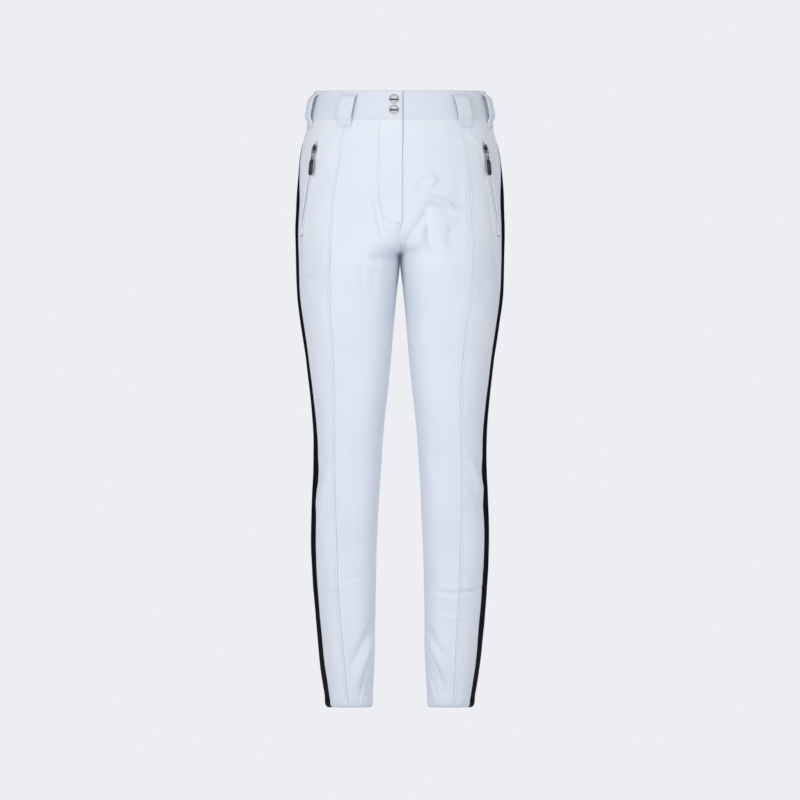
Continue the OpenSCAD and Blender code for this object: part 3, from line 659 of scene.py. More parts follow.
# ---------------------------------------------------------------- materials
def nodes_for(name):
    material = bpy.data.materials.new(name)
    material.use_nodes = True
    tree = material.node_tree
    return material, tree, tree.nodes["Principled BSDF"]


def add(tree, kind, links=None, values=None, **settings):
    """A new node; links and values are given by its inputs."""
    node = tree.nodes.new(kind)
    for key, value in settings.items():
        setattr(node, key, value)
    for socket, value in (values or {}).items():
        node.inputs[socket].default_value = value
    for socket, source in (links or {}).items():
        tree.links.new(source, node.inputs[socket])
    return node


def maths(tree, operation, *values):
    """A math node's result, from sockets or numbers."""
    node = add(tree, "ShaderNodeMath", operation=operation)
    for socket, value in zip(node.inputs, values):
        if isinstance(value, float):
            socket.default_value = value
        else:
            tree.links.new(value, socket)
    return node.outputs[0]


def noise(tree, where, scale, detail):
    node = add(tree, "ShaderNodeTexNoise", {"Vector": where}, {"Scale": scale, "Detail": detail})
    return node.outputs["Fac"]


def ramp(tree, source, *stops):
    """A colour ramp's result; a stop is a position and a colour, or one number for a grey."""
    node = add(tree, "ShaderNodeValToRGB", {"Fac": source})
    elements = node.color_ramp.elements
    stops = [(at, (*(color if isinstance(color, tuple) else (color,) * 3), 1))
             for at, color in stops]
    for element, (at, color) in zip(elements, (stops[0], stops[-1])):
        element.position, element.color = at, color
    for at, color in stops[1:-1]:
        elements.new(at).color = color
    return node.outputs["Color"]


def finish_surface(tree, shader, colour, grain, rough, height, strength, distance):
    """A shader's colour, its roughness between two values by the grain, and its bump."""
    spread = add(tree, "ShaderNodeMapRange", {"Value": grain},
                 {"To Min": rough[0], "To Max": rough[1]})
    bump = add(tree, "ShaderNodeBump", {"Height": height},
               {"Strength": strength, "Distance": distance})
    for socket, source in (("Base Color", colour), ("Roughness", spread.outputs["Result"]),
                           ("Normal", bump.outputs["Normal"])):
        tree.links.new(source, shader.inputs[socket])


def fabric(name, light, dark, pitch, depth, rough=(0.62, 0.78), sheen=0.25, rib=False, uv=True,
           specular=0.3):
    """Woven cloth: threads both ways at a pitch in mm, or ribs along the cloth."""
    material, tree, shader = nodes_for(name)
    if uv:
        where = add(tree, "ShaderNodeUVMap", uv_map="cloth").outputs["UV"]
    else:
        where = add(tree, "ShaderNodeTexCoord").outputs["Object"]
    scale = 2 * math.pi / (20 * pitch * MM)
    threads = []
    for direction in ("X", "Y" if uv else "Z"):
        wave = add(tree, "ShaderNodeTexWave", {"Vector": where}, {
            "Scale": scale * (0.12 if rib and direction != "X" else 1.0),
            "Distortion": 0.35, "Detail": 1.0, "Detail Scale": 3.0,
        }, wave_type="BANDS", bands_direction=direction)
        threads.append(wave.outputs["Fac"])
    weave = maths(tree, "ADD" if rib else "MULTIPLY", *threads)
    cloudy, fibre = noise(tree, where, 9.0, 4.0), noise(tree, where, 1400.0, 2.0)
    tone = maths(tree, "ADD", maths(tree, "MULTIPLY_ADD", weave, cloudy, 0.1), cloudy)
    finish_surface(tree, shader, ramp(tree, tone, (0.35, dark), (0.95, light)), fibre, rough,
                   maths(tree, "MULTIPLY_ADD", fibre, 0.35, weave), depth, 0.0002)
    shader.inputs["Sheen Weight"].default_value = sheen
    shader.inputs["Sheen Roughness"].default_value = 0.45
    shader.inputs["Specular IOR Level"].default_value = specular
    return material


def metal(name, color, worn, rough, metallic=1.0, scratch=0.05):
    """Plated metal, with finer marks and lighter worn edges."""
    material, tree, shader = nodes_for(name)
    where = add(tree, "ShaderNodeTexCoord").outputs["Object"]
    cloudy, fine = noise(tree, where, 420.0, 5.0), noise(tree, where, 2600.0, 3.0)
    pointed = add(tree, "ShaderNodeNewGeometry").outputs["Pointiness"]
    wear = maths(tree, "MULTIPLY", ramp(tree, pointed, (0.5, 0.0), (0.62, 1.0)), cloudy)
    finish_surface(tree, shader, ramp(tree, wear, (0.1, color), (0.75, worn)), cloudy, rough,
                   fine, scratch, 0.0001)
    shader.inputs["Metallic"].default_value = metallic
    return material


SHELL = fabric("shell_cloth", (0.800, 0.842, 0.908), (0.735, 0.782, 0.865), 0.55, 0.16)
# The shell's own cloth about 6 % darker: painted shade for how the light falls on the waistband;
# the belt loops and hems wear it too
SHADED_SHELL = fabric("shell_cloth_painted_shade", (0.750, 0.795, 0.862), (0.69, 0.74, 0.82), 0.55, 0.22)
FACING = fabric("facing_tricot", (0.70, 0.75, 0.82), (0.62, 0.68, 0.76), 0.8, 0.3,
                (0.8, 0.95), 0.4)
STRIPE = fabric("stripe_ribbed", (0.006, 0.0065, 0.008), (0.002, 0.0025, 0.003), 0.9, 0.35,
                (0.5, 0.66), 0.0, rib=True, specular=0.08)
ELASTIC = fabric("elastic_ribbed", (0.80, 0.82, 0.84), (0.66, 0.68, 0.72), 1.1, 0.6,
                 (0.7, 0.85), 0.2, rib=True)
GAITER = fabric("gaiter_lining", (0.62, 0.66, 0.72), (0.54, 0.58, 0.65), 0.45, 0.14,
                (0.42, 0.55), 0.1)
POCKETING = fabric("pocketing_knit", (0.78, 0.80, 0.84), (0.68, 0.71, 0.76), 0.9, 0.35,
                   (0.82, 0.95), 0.3)
# Near-white tape, partly its own white and partly painted light: brightened past the shell to lift
# the shade in the pocket slots
TAPE = fabric("zip_tape_cloth_painted_light", (0.92, 0.95, 0.99), (0.85, 0.89, 0.95), 0.7, 0.4,
              (0.55, 0.7), 0.1, uv=False)
THREAD = fabric("sewing_thread", (0.80, 0.85, 0.90), (0.66, 0.72, 0.79), 0.25, 0.3,
                (0.45, 0.6), 0.3, uv=False)
BLACK_THREAD = fabric("black_thread", (0.03, 0.031, 0.036), (0.012, 0.013, 0.015), 0.25, 0.3,
                      (0.4, 0.55), 0.2, uv=False)
CHROME = metal("chrome_plate", (0.84, 0.845, 0.86), (0.90, 0.90, 0.91), (0.05, 0.12), 1.0, 0.02)
STEEL = metal("brushed_zip_metal", (0.42, 0.43, 0.45), (0.62, 0.62, 0.64), (0.2, 0.35), 1.0, 0.08)
GUNMETAL = metal("gunmetal_plate", (0.46, 0.465, 0.48), (0.80, 0.80, 0.82), (0.08, 0.18), 1.0,
                 0.03)
# The coil is partly its own white and partly painted light, brightened against the shade in the
# slots
COIL = metal("moulded_coil_painted_light", (0.88, 0.92, 0.97), (0.88, 0.92, 0.97), (0.35, 0.5), 0.0, 0.1)


def keep(piece, slot, *nodes):
    """Hides the CAD nodes that a piece stands for and gives back the piece; slot is not used."""
    if nodes:
        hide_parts(*nodes)
    return piece


# ---------------------------------------------------------------- pocket arcs
POCKET_TOP, POCKET_L, SLOT_HALF, SLIDER_AT = 86.0, 158.0, 4.7, 11.0
# A pocket's zip is an arc through three points: shares of the half width, and drops below its top
ARC_SHARES, ARC_STEPS = (0.862, 0.888, 0.94), (0, 78, 155)


def front_point(x, drop):
    return skin(turn_at(x, drop), drop)


def hip_point(share, drop):
    return front_point(share * shape(drop, SIDE), drop)


def circle_centre(a, b, c):
    """Centre of the circle through three points."""
    u, v = b - a, c - a
    n = np.cross(u, v)
    return a + (np.cross(n, u) * (v @ v) + np.cross(v, n) * (u @ u)) / (2 * (n @ n))


ARC = [hip_point(share, POCKET_TOP + step) for share, step in zip(ARC_SHARES, ARC_STEPS)]
ARC_C = circle_centre(*ARC)
ARC_R = np.linalg.norm(ARC[0] - ARC_C)
ARC_AXIS = unit(np.cross(ARC[0] - ARC_C, ARC[2] - ARC_C))
ARC_OUT = unit(ARC[0] - ARC_C)
# The zip leans with the cloth at its middle
ARC_FACE = unit(np.cross(
    hip_point(0.898, POCKET_TOP + 78) - hip_point(0.878, POCKET_TOP + 78),
    hip_point(0.888, POCKET_TOP + 70) - hip_point(0.888, POCKET_TOP + 86)))
LEAN = math.atan2(ARC_FACE @ ARC_AXIS, ARC_FACE @ unit(ARC[1] - ARC_C))


def arc_frame(along):
    """Origin, outward, downward and across directions at a distance down the left pocket's zip."""
    a = along / ARC_R
    down0 = np.cross(ARC_AXIS, ARC_OUT)
    out0 = math.cos(a) * ARC_OUT + math.sin(a) * down0
    down = -math.sin(a) * ARC_OUT + math.cos(a) * down0
    out = math.cos(LEAN) * out0 + math.sin(LEAN) * ARC_AXIS
    across = -math.sin(LEAN) * out0 + math.cos(LEAN) * ARC_AXIS
    return ARC_C + ARC_R * out0, out, down, across


def built(name, parts, side, material, body, slot, *nodes, sharp=40, place=None):
    """A piece from (points, faces) parts, set in a frame on the left and mirrored for the right."""
    verts, faces = joined(parts)
    if place is not None:
        verts = set_in(verts, *place)
    if side == RIGHT:
        faces = [list(f)[::-1] for f in faces]
    verts = np.asarray(verts, float) * (side, 1, 1)
    return keep(finish_mesh(name, verts, faces, material, body, sharp=sharp), slot, *nodes)


# ---------------------------------------------------------------- panels
TOP, BOTTOM = BAND_H - 0.6, PANTS_H - HEM_H + 0.5
SLOT_TOP, SLOT_LOW = -arc_frame(0)[0][2], -arc_frame(POCKET_L)[0][2]
# Rows of stitches: from the princess seam, and from the pocket's slot
SEAM_STITCH, SLOT_STITCH = 4.1, 2.2
PANEL_DROPS = drops_between(TOP, BOTTOM, 3.4)
CENTRE_DROPS = np.unique(np.concatenate([
    PANEL_DROPS, RISE - FRONT_CURVE * (1 - np.cos(np.radians(np.arange(4, 90, 6))))]))
SIDE_DROPS = np.unique(np.concatenate([
    PANEL_DROPS, np.arange(84, 95, 0.9), SLOT_TOP + np.array([-2.8, -1.9, -1.2, -0.7, -0.3, 0]),
    SLOT_LOW + np.array([0, 0.3, 0.7, 1.2, 1.9, 2.8])]))
SIDE_DROPS = SIDE_DROPS[np.concatenate([[True], np.diff(SIDE_DROPS) > 0.12])]
STRIPE_DROPS = np.concatenate([
    SIDE_DROPS[SIDE_DROPS > 85.3], np.linspace(BOTTOM + 0.8, PANTS_H - 0.1, 7)])


def princess(side, drop):
    return turn_at(np.interp(drop, *SEAMS[side]), drop)


def stripe_turn(drop, behind):
    """Edge of the side stripe, which runs to a point below the waistband."""
    far = mix(6, 18 if behind else 30, ease((drop - 88) / 105))
    far = far - (4 if behind else 0) * ease((drop - 500) / 400)
    return mix(1, side_turn(far, drop, behind), ease((drop - 84) / 10))


def front_relief(away, d):
    """The cloth rolls under at the princess seam."""
    return rounded(np.abs(away[:, :, -1]), 1.9, 0.9)


J_LINE = [(FLY_X, 48), (FLY_X, 162), (35, 180), (32.5, 196), (25, 211), (13, 218.5), (0, 220.5)]


def flap_relief(away, d):
    """The fly's stitching sinks in, and its facing swells between the line and the edge."""
    x = away[:, :, 0] - FLY_LAP
    far, _ = fold_line(x, d, J_LINE)
    inside = ease((34 - x) / 8) * ease((214 - d) / 16)
    return front_relief(away, d) + groove(far, 0.75, 1.5) + 0.35 * inside


# The right front and the fly flap are one piece, stepping forward toward the fly and sunk along its
# stitch line
flap_edge = np.where(CENTRE_DROPS < 226, turn_at(
    -FLY_LAP * (1 - ease((CENTRE_DROPS - 219) / 6)), CENTRE_DROPS), 0.0)
step_line = turn_at(np.interp(CENTRE_DROPS, [0, 250, 420], [41, 41, 60]), CENTRE_DROPS)
front_right = panel(
    "front_right_with_flap", RIGHT, CENTRE_DROPS,
    [flap_edge, step_line, princess(RIGHT, CENTRE_DROPS)], [30, 26], SHELL,
    relief=flap_relief, lift=fly_lift, body=None, nears=[NEAR, NEAR_FOLD])
keep(front_right, "shell", "front_panel_right", "fly_flap")

left_edge = np.where(CENTRE_DROPS < 214, turn_at(
    -6.0 * (1 - ease((CENTRE_DROPS - 200) / 14)), CENTRE_DROPS), 0.0)
front_left = keep(panel(
    "front_left", LEFT, CENTRE_DROPS, [left_edge, princess(LEFT, CENTRE_DROPS)], [34], SHELL,
    relief=front_relief), "shell", "front_panel_left")

ALONG = np.arange(-46, POCKET_L + 12, 2.0)
ARC_FRAMES = [np.array(v) for v in zip(*[arc_frame(s) for s in ALONG])]


def slot_edge(drop, across, inner, outer):
    """Turn of a line beside the pocket zip. Below the zip it runs on between the two seams."""
    p = ARC_FRAMES[0] + ARC_FRAMES[3] * across
    share = (np.interp(drop, -p[:, 2], turn_at(p[:, 0], -p[:, 2])) - inner) / (outer - inner)
    low = SLOT_LOW + 4
    settled = 0.52 + 0.0035 * across
    return inner + (outer - inner) * np.where(
        drop > low, mix(np.interp(low, drop, share), settled, ease((drop - low) / 170)), share)


def beside_slot(away, d):
    """Distance outside the zip's slot: across it, and round its ends."""
    across = np.maximum(-away[:, :, 1], away[:, :, 2])
    end = np.maximum(SLOT_TOP - d, d - SLOT_LOW)
    return np.where(end > 0, np.hypot(np.maximum(across, 0), end), across)


def side_front_relief(away, d):
    """A sunk row of stitches beside the seam, and a raised lip round the slot with another."""
    seam, lip = away[:, :, 0], np.maximum(beside_slot(away, d), 0)
    height = rounded(seam, 1.6, 0.9) + groove(seam - SEAM_STITCH, 0.6, 0.7)
    height += (rounded(lip, 1.1, 0.7) + 0.5 * (1 - ease((lip - 3.6) / 1.2))
               - 0.12 * np.exp(-((lip - SLOT_STITCH) / 0.5) ** 2))
    return height


def in_slot(away, d):
    middle = (d[:-1, :-1] + d[1:, :-1]) / 2
    past = (away[:-1, :-1, 1] + away[:-1, 1:, 1]) / 2 > 0
    short = (away[:-1, :-1, 2] + away[:-1, 1:, 2]) / 2 < 0
    return past & short & (middle > SLOT_TOP) & (middle < SLOT_LOW)


def hem_tuck(d):
    """The elastic draws the hem's edge in."""
    return 3.0 * np.clip((d - PANTS_H + 9) / 9, 0, 1) ** 3


def stripe_relief(away, d):
    """Two ridges down the stripe, which rises over the hem band."""
    share = away[:, :, 0] / np.maximum(away[:, :, 0] - away[:, :, -1], 1e-6)
    ridge = np.exp(-((share - 0.3) / 0.05) ** 2) + np.exp(-((share - 0.7) / 0.05) ** 2)
    return 0.15 + 0.3 * ridge + 1.15 * ease((d - BOTTOM + 12) / 12) - hem_tuck(d)


slot_edges, side_fronts, backs, stripes = {}, {}, {}, {}
for word, side in SIDES.items():
    inner, outer = princess(side, SIDE_DROPS), stripe_turn(SIDE_DROPS, False)
    slot_edges[side] = [slot_edge(SIDE_DROPS, k * SLOT_HALF, inner, outer) for k in (-1, 1)]
    side_fronts[side] = keep(panel(
        f"side_front_{word}", side, SIDE_DROPS, [inner, *slot_edges[side], outer], [9, 4, 7],
        SHELL, nears=[NEAR, (0, 1.3), NEAR], relief=side_front_relief, hole=in_slot),
        "shell", f"side_front_panel_{word}")
    backs[side] = keep(panel(
        f"back_{word}", side, SIDE_DROPS, [stripe_turn(SIDE_DROPS, True), 2.0], [48], SHELL),
        "shell", f"back_panel_{word}")
    stripes[side] = keep(panel(
        f"stripe_{word}", side, STRIPE_DROPS,
        [stripe_turn(STRIPE_DROPS, False), stripe_turn(STRIPE_DROPS, True)], [14], STRIPE,
        nears=[(0, 0.4, 1.0)], relief=stripe_relief), "stripe", f"side_stripe_{word}")

# ---------------------------------------------------------------- waistband
BAND_OUT, BAND_IN = 0.8, 3.9
BAND_DEEP = BAND_OUT + BAND_IN
# The right part's front bends with the flap; it meets the rest under the front belt loop
BAND_JOIN = 84.0
BAND_STITCHES = (2.4, BAND_H - 2.2)
BAND_DROPS = drops_between(0.0, BAND_H + 0.6, 2.4)
FACING_DROPS = drops_between(1.0, BAND_H - 2, 3.0)
ELASTIC_DROPS = drops_between(6.0, BAND_H - 6, 3.0)
FACING_STARTS = {LEFT: -24.0, RIGHT: 30.0}


def band_thick(turns, d):
    """The overlap is thin; the band behind it reaches in to its facing."""
    x = skin(turns, d)[..., 0]
    return np.where(turns < 1, mix(1.8, BAND_DEEP, ease((x - FLY_X) / 12)), BAND_DEEP)


def band_relief(away, d):
    """Edge stitching sunk a little, and soft ripples from the elastic behind."""
    height = groove(d - BAND_STITCHES[0], 0.12, 0.5) + groove(BAND_STITCHES[1] - d, 0.12, 0.5)
    around = away[:, :, -1]
    return height + 0.35 * np.sin(around / 3.1 + np.sin(d / 9)) * ease((around + 205) / 60)


band_left = keep(panel(
    "waistband_cover_left", LEFT, BAND_DROPS, [turn_at(-24.0, BAND_DROPS), 2.0], [170], SHADED_SHELL,
    out=BAND_OUT, thick=BAND_DEEP, relief=band_relief), "shell", "waistband_left")
band_overlap = keep(panel(
    "waistband_overlap_cover", RIGHT, BAND_DROPS,
    [turn_at(x, BAND_DROPS) for x in (-FLY_LAP, 42.0, BAND_JOIN)], [24, 16], SHADED_SHELL,
    nears=[NEAR, NEAR_FOLD], out=BAND_OUT, thick=band_thick, relief=band_relief,
    lift=band_lift, body=None), "shell", "waistband_overlap")
band_right = keep(panel(
    "waistband_cover_right", RIGHT, BAND_DROPS, [turn_at(BAND_JOIN + 0.1, BAND_DROPS), 2.0],
    [130], SHADED_SHELL, out=BAND_OUT, thick=BAND_DEEP, relief=band_relief, lift=band_lift),
    "shell", "waistband_right")

for word, side in SIDES.items():
    keep(panel(
        f"waist_facing_{word}", side, FACING_DROPS,
        [turn_at(FACING_STARTS[side], FACING_DROPS), 2.0], [110], FACING, out=-4.0, thick=0.8),
        "facing", f"waistband_facing_{word}")
    keep(panel(
        f"waist_elastic_{word}", side, ELASTIC_DROPS, [1.06, 2.0], [90], ELASTIC, out=-2.5,
        relief=lambda away, d: 0.1 * np.sin(away[:, :, -1] * 2.4)), "elastic",
        *(["waist_elastic"] if side == RIGHT else []))

# The joint about which the flap and the overlap turn at the fly's stitch line; here they are only
# baked in place
fold = next(j for j in frame["joints"] if j["name"] == "fly_flap_fold")
fold_at, fold_axis = np.array(fold["pos_m"]), np.array(fold["axis"])
toward_flap = -unit(np.cross(fold_axis, (0, -1, 0)))
toward_flap *= np.sign(toward_flap[0])


def bends(piece):
    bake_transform(piece)


bends(front_right)
bends(band_overlap)

# ---------------------------------------------------------------- belt loops
LOOP_W = 26.0
# Down a loop's middle: drop, and distance from the cloth
LOOP_PATH = smooth_path([(1, 1.1), (5.5, 1.3), (10, 6.6), (15, 8.7), (30, 8.7), (43, 7.2),
                         (51, 2.0), (55.5, 0.7), (61, 0.7)], 64)
LOOP_ROWS, LOOP_TACKS = (-9.75, -3.25, 3.25, 9.75), (4.0, 57.5, 59.0)
LOOP_FRONTS, LOOP_SIDE_TURN = {RIGHT: 84.0, LEFT: 99.0}, 0.86
CENTRE_BACK = 2


def loop_surface(turn, d, t, slant=0.0):
    """Cloth beside a loop's middle line, for the left half or across the centre back."""
    if turn < CENTRE_BACK:
        return skin(shifted(np.full(np.shape(t), turn), d, t + slant * (d - 20)), d)
    wide = skin(np.full(np.shape(t), CENTRE_BACK - 0.1), d)[..., 0]
    p = skin(CENTRE_BACK - 0.1 * np.abs(t) / wide, d)
    p[..., 0] = np.where(t < 0, 1, -1) * p[..., 0]
    return p


def belt_loop(name, side, turn, node, slant=0.0):
    """One loop of folded cloth; gives its piece and its rows of stitches."""
    if turn == CENTRE_BACK:
        out = np.array([0, 1.0, 0])
    else:
        tangent = skin(turn + 0.01, 30) - skin(turn - 0.01, 30)
        out = unit([tangent[1], -tangent[0], 0])
    t = spaced([LOOP_W], 21, (0, 0.25, 0.6, 1.1, 1.7))[0] - LOOP_W / 2
    d, stand = LOOP_PATH[:, 0], LOOP_PATH[:, 1]
    grid_t, grid_d = np.meshgrid(t, d)
    base = loop_surface(turn, grid_d, grid_t, slant)
    ridge = 0.34 * (np.abs(np.cos(np.pi * grid_t / 6.5)) - 1) + 0.3
    height = stand[:, None] + 1.5 + ridge + rounded(LOOP_W / 2 - np.abs(grid_t), 1.0, 0.6)
    height += rounded(grid_d - d[0], 0.9, 0.5) + rounded(d[-1] - grid_d, 0.9, 0.5)
    outer, inner = base + out * height[..., None], base + out * stand[:, None, None]
    mirror = (side, 1, 1)
    piece = keep(double_sheet(name, side, outer * mirror, inner * mirror, grid_t, grid_d, SHADED_SHELL,
                              "garment"), "shell", node)
    seams = []
    for row in LOOP_ROWS:
        p = loop_surface(turn, d, np.full(d.shape, row), slant) + out * (stand + 1.52)[:, None]
        seams.append((p[2:-2] * mirror, np.broadcast_to(out * mirror, p[2:-2].shape)))
    across = np.linspace(-11, 11, 11)
    for at in LOOP_TACKS:
        h = np.interp(at, d, stand) + 1.75
        p = loop_surface(turn, np.full(across.shape, at), across, slant) + out * h
        seams.append((p * mirror, np.broadcast_to(out * mirror, p.shape), 1.1, 1.05, 0.33))
    return piece, seams


loops, garment_seams = {}, []
for word, side in SIDES.items():
    front_turn = float(turn_at(LOOP_FRONTS[side], 20.0))
    for part, turn, slant in (("front", front_turn, 0.09), ("side", LOOP_SIDE_TURN, 0.0)):
        loops[part, side], seams = belt_loop(
            f"loop_{part}_{word}", side, turn, f"belt_loop_{part}_{word}", slant)
        garment_seams += seams
loops["back", 0], seams = belt_loop("loop_back", LEFT, CENTRE_BACK, "belt_loop_back")
garment_seams += seams

# ---------------------------------------------------------------- snaps
SNAP_X, SNAP_DROPS, CAP_BASE = 9.5, (15.5, 33.0), 4.45
# From the shank over the rim, its dished ring and the crown: radius, height
CAP_PROFILE = [(0.02, -1.9), (1.5, -1.9), (1.5, 0), (7.9, 0), (8.15, 0.08), (8.25, 0.22),
               (8.15, 0.45), (7.7, 0.86), (7.2, 1.24), (6.9, 1.38), (6.7, 1.36), (6.5, 1.22),
               (6.3, 1.14), (5.6, 1.22), (4.2, 1.36), (2.8, 1.46), (1.4, 1.52), (0.02, 1.54)]


def snap_frame(drop):
    up = unit(front_point(SNAP_X, drop - 12) - front_point(SNAP_X, drop + 12))
    across = unit(front_point(SNAP_X + 4, drop) - front_point(SNAP_X - 4, drop))
    out = unit(np.cross(across, up))
    return front_point(SNAP_X, drop) + BAND_OUT * out, across, np.cross(out, across), out


caps = []
for drop in SNAP_DROPS:
    v, f = lathe([(r, h + CAP_BASE) for r, h in CAP_PROFILE], 96)
    caps.append((set_in(v, *snap_frame(drop)), f))
built("snap_cap_pair", caps, RIGHT, CHROME, "fly_flap_body", "snap_metal", "snap_caps", sharp=50)

# ---------------------------------------------------------------- fly zip and shield
FLY_ZIP_X, FLY_ZIP_TOP, FLY_ZIP_L = 12.0, 54.0, 152.0
FLY_TEETH, TOOTH_PITCH, FLY_SLIDER_Z = 72, 2.0, -15.7
SHIELD_DROPS = drops_between(BAND_H + 3, FLY_DROP - 9, 3.2)
shield = keep(panel(
    "fly_shield_cover", RIGHT, SHIELD_DROPS,
    [turn_at(-18.0, SHIELD_DROPS), turn_at(30.0, SHIELD_DROPS)], [18], FACING,
    out=-9.0, folds=0.0), "facing", "fly_shield")
fly_top = front_point(FLY_ZIP_X, FLY_ZIP_TOP)
fly_up = unit(fly_top - front_point(FLY_ZIP_X, FLY_ZIP_TOP + FLY_ZIP_L))
fly_into = unit(np.cross(fly_up, front_point(FLY_ZIP_X + 5, FLY_ZIP_TOP + 76)
                         - front_point(FLY_ZIP_X - 5, FLY_ZIP_TOP + 76)))
FLY = (fly_top, -fly_into, np.cross(fly_into, fly_up), fly_up)  # origin, out, across, up


def block(low, high, bevel=0.15):
    """A box with bevelled edges along its height: x between low[0] and high[0]."""
    outline = np.array([(low[1], low[2]), (high[1], low[2]), (high[1], high[2]), (low[1], high[2])])
    size = (np.array(high) - low)[1:].min() / 2
    centre = outline.mean(0)
    grow = lambda by: outline - np.sign(outline - centre) * min(by, size * 0.9)
    rings = [np.column_stack([np.full(4, x), grow(by)]) for by, x in (
        (bevel, low[0]), (0, low[0] + bevel), (0, high[0] - bevel), (bevel, high[0]))]
    return loft(rings)


def turned(outline):
    return np.column_stack([-outline[:, 1], outline[:, 0]])


# Half a tape's outline, with a step where it meets its teeth: across, out
FLY_TAPE = [(0.7, -5.25), (4.2, -5.2), (4.6, -5.45), (11.6, -5.45), (12.0, -5.3), (12.0, -5.7),
            (4.6, -5.85), (0.7, -5.75)]
built("fly_zip_tape_pair", [
    loft([np.array([(out, k * across, z) for across, out in FLY_TAPE[::k]])
          for z in np.linspace(0, -FLY_ZIP_L, 60)]) for k in (-1, 1)],
    RIGHT, TAPE, "garment", "zip_tape", "fly_zip_tapes", place=FLY)
teeth = []
for i in range(FLY_TEETH):
    for k, shift in ((1, 0.0), (-1, 1.0)):
        z = -4.6 - TOOTH_PITCH * i - shift
        near, far = sorted((k * -0.5, k * 3.0))
        teeth.append(block((-4.9, near, z - 0.42), (-3.5, far, z + 0.42), 0.2))
built("fly_zip_teeth_rows", teeth, RIGHT, COIL, "garment", "zip_coil", "fly_zip_teeth", place=FLY)
z0 = FLY_SLIDER_Z
built("fly_slider_body", [
    pad(turned(pill(12, 9, 40, 1.5, (z0 + 6, 0))), -3.1, -2.0, 0.35),
    pad(turned(pill(12, 8, 40, 1.5, (z0 + 6, 0))), -7.1, -6.1, 0.3),
    block((-4.9, -4.5, z0), (-3.0, -3.5, z0 + 12)), block((-4.9, 3.5, z0), (-3.0, 4.5, z0 + 12)),
    block((-6.2, -0.4, z0 + 7), (-3.0, 0.4, z0 + 12)),
    block((-2.1, -1.2, z0 + 2), (-0.9, 1.2, z0 + 9), 0.3),
], RIGHT, STEEL, "fly_slider_body", "gunmetal", "fly_slider", place=FLY)
built("fly_pull_tab", [
    pad(turned(pill(17, 5.6, 40, 1.0, (z0 - 7.5, 0))), -1.7, -0.75, 0.3, 0.25),
    tube(smooth_path([
        (-1.2, -2.1, z0 + 0.2), (-1.2, -2.2, z0 + 6), (-1.2, -1.2, z0 + 9.6),
        (-1.2, 1.2, z0 + 9.6), (-1.2, 2.2, z0 + 6), (-1.2, 2.1, z0 + 0.2)], 40), 0.5, 10),
], RIGHT, GUNMETAL, "fly_slider_body", "pull_tab", "fly_pull", place=FLY)

# ---------------------------------------------------------------- pocket zips
LINK_X, LINK_Y, LINK_L, HANG = 3.95, 2.3, 12.5, math.radians(8)
TAB_PIN, TAB_W = 16, 11.8
ZIP_ALONG = np.arange(0.6, POCKET_L - 0.3, 1.7)
COIL_ALONG = np.arange(4, POCKET_L - 4, 0.55)
COIL_SWELL = 1 + 0.16 * np.where(np.arange(len(COIL_ALONG)) % 2, 1, -1)
BAG_END, BAG_ROUND = 312, 40
BAG_DROPS = np.unique(np.concatenate([
    drops_between(74.0, 272.0, 4.0),
    BAG_END - BAG_ROUND * (1 - np.sin(np.radians(np.arange(0, 91, 4))))]))
# Outlines of half a zip, as (out, across)
POCKET_TAPE = [(-1.5, 0.55), (-1.45, 3.2), (-1.75, 3.8), (-1.75, 9.0), (-2.2, 9.0), (-2.2, 3.8),
               (-1.95, 3.2), (-1.95, 0.55)]
POCKET_COIL = [(-2.0, 0.15), (-2.0, 2.3), (-3.0, 2.9), (-3.6, 1.6), (-3.4, 0.3)]
BAIL = smooth_path([(1.9, -5.0, 0), (4.3, -4.7, 0), (5.45, -2.6, 0), (5.6, 0, 0), (5.45, 2.6, 0),
                    (4.3, 4.7, 0), (1.9, 5.0, 0)], 36)


def half_zips(profile, along=ZIP_ALONG, swell=None):
    """Both halves of a zip: a profile swept down the pocket's arc on each side of it."""
    swell = np.ones(len(along)) if swell is None else swell
    halves = []
    for k in (-1, 1):
        rings = []
        for s, grow in zip(along, swell):
            o, out, down, across = arc_frame(s)
            rings.append(np.array([
                o + out * h * grow + across * (k * a) for h, a in profile[::k]])[::-1])
        halves.append(loft(rings))
    return halves


def link_ring():
    """A rounded oblong ring, hanging from its top."""
    angle = np.arange(64) * 2 * np.pi / 64
    squarer = lambda v: np.sign(v) * np.abs(v) ** 0.55
    path = np.column_stack([np.zeros(64), LINK_L / 2 - squarer(np.cos(angle)) * LINK_L / 2,
                            squarer(np.sin(angle)) * 3.4])
    return tube(path, 0.72, 14, closed=True)


def slider_parts():
    """Dished crown, its foot, the plate on the coil, the plate behind with its post, the bail."""
    crown = pill(15.5, 10, 56)
    crown[:, 1] *= 1 - 0.16 * np.clip(crown[:, 0] / 7.75, 0, 1)  # narrower toward the pull
    return [pad(crown, 1.4, 2.9, 0.6, 0.25), pad(pill(12, 7, 40), -0.6, 1.5, 0.2),
            pad(pill(13, 8, 48), -2.6, -0.5, 0.5), pad(pill(12, 7.6, 40), -7.5, -6.6, 0.3),
            block((-6.7, -5.5, -0.4), (-2.4, -0.5, 0.4)), tube(BAIL, 0.75, 14, flat=1.7)]


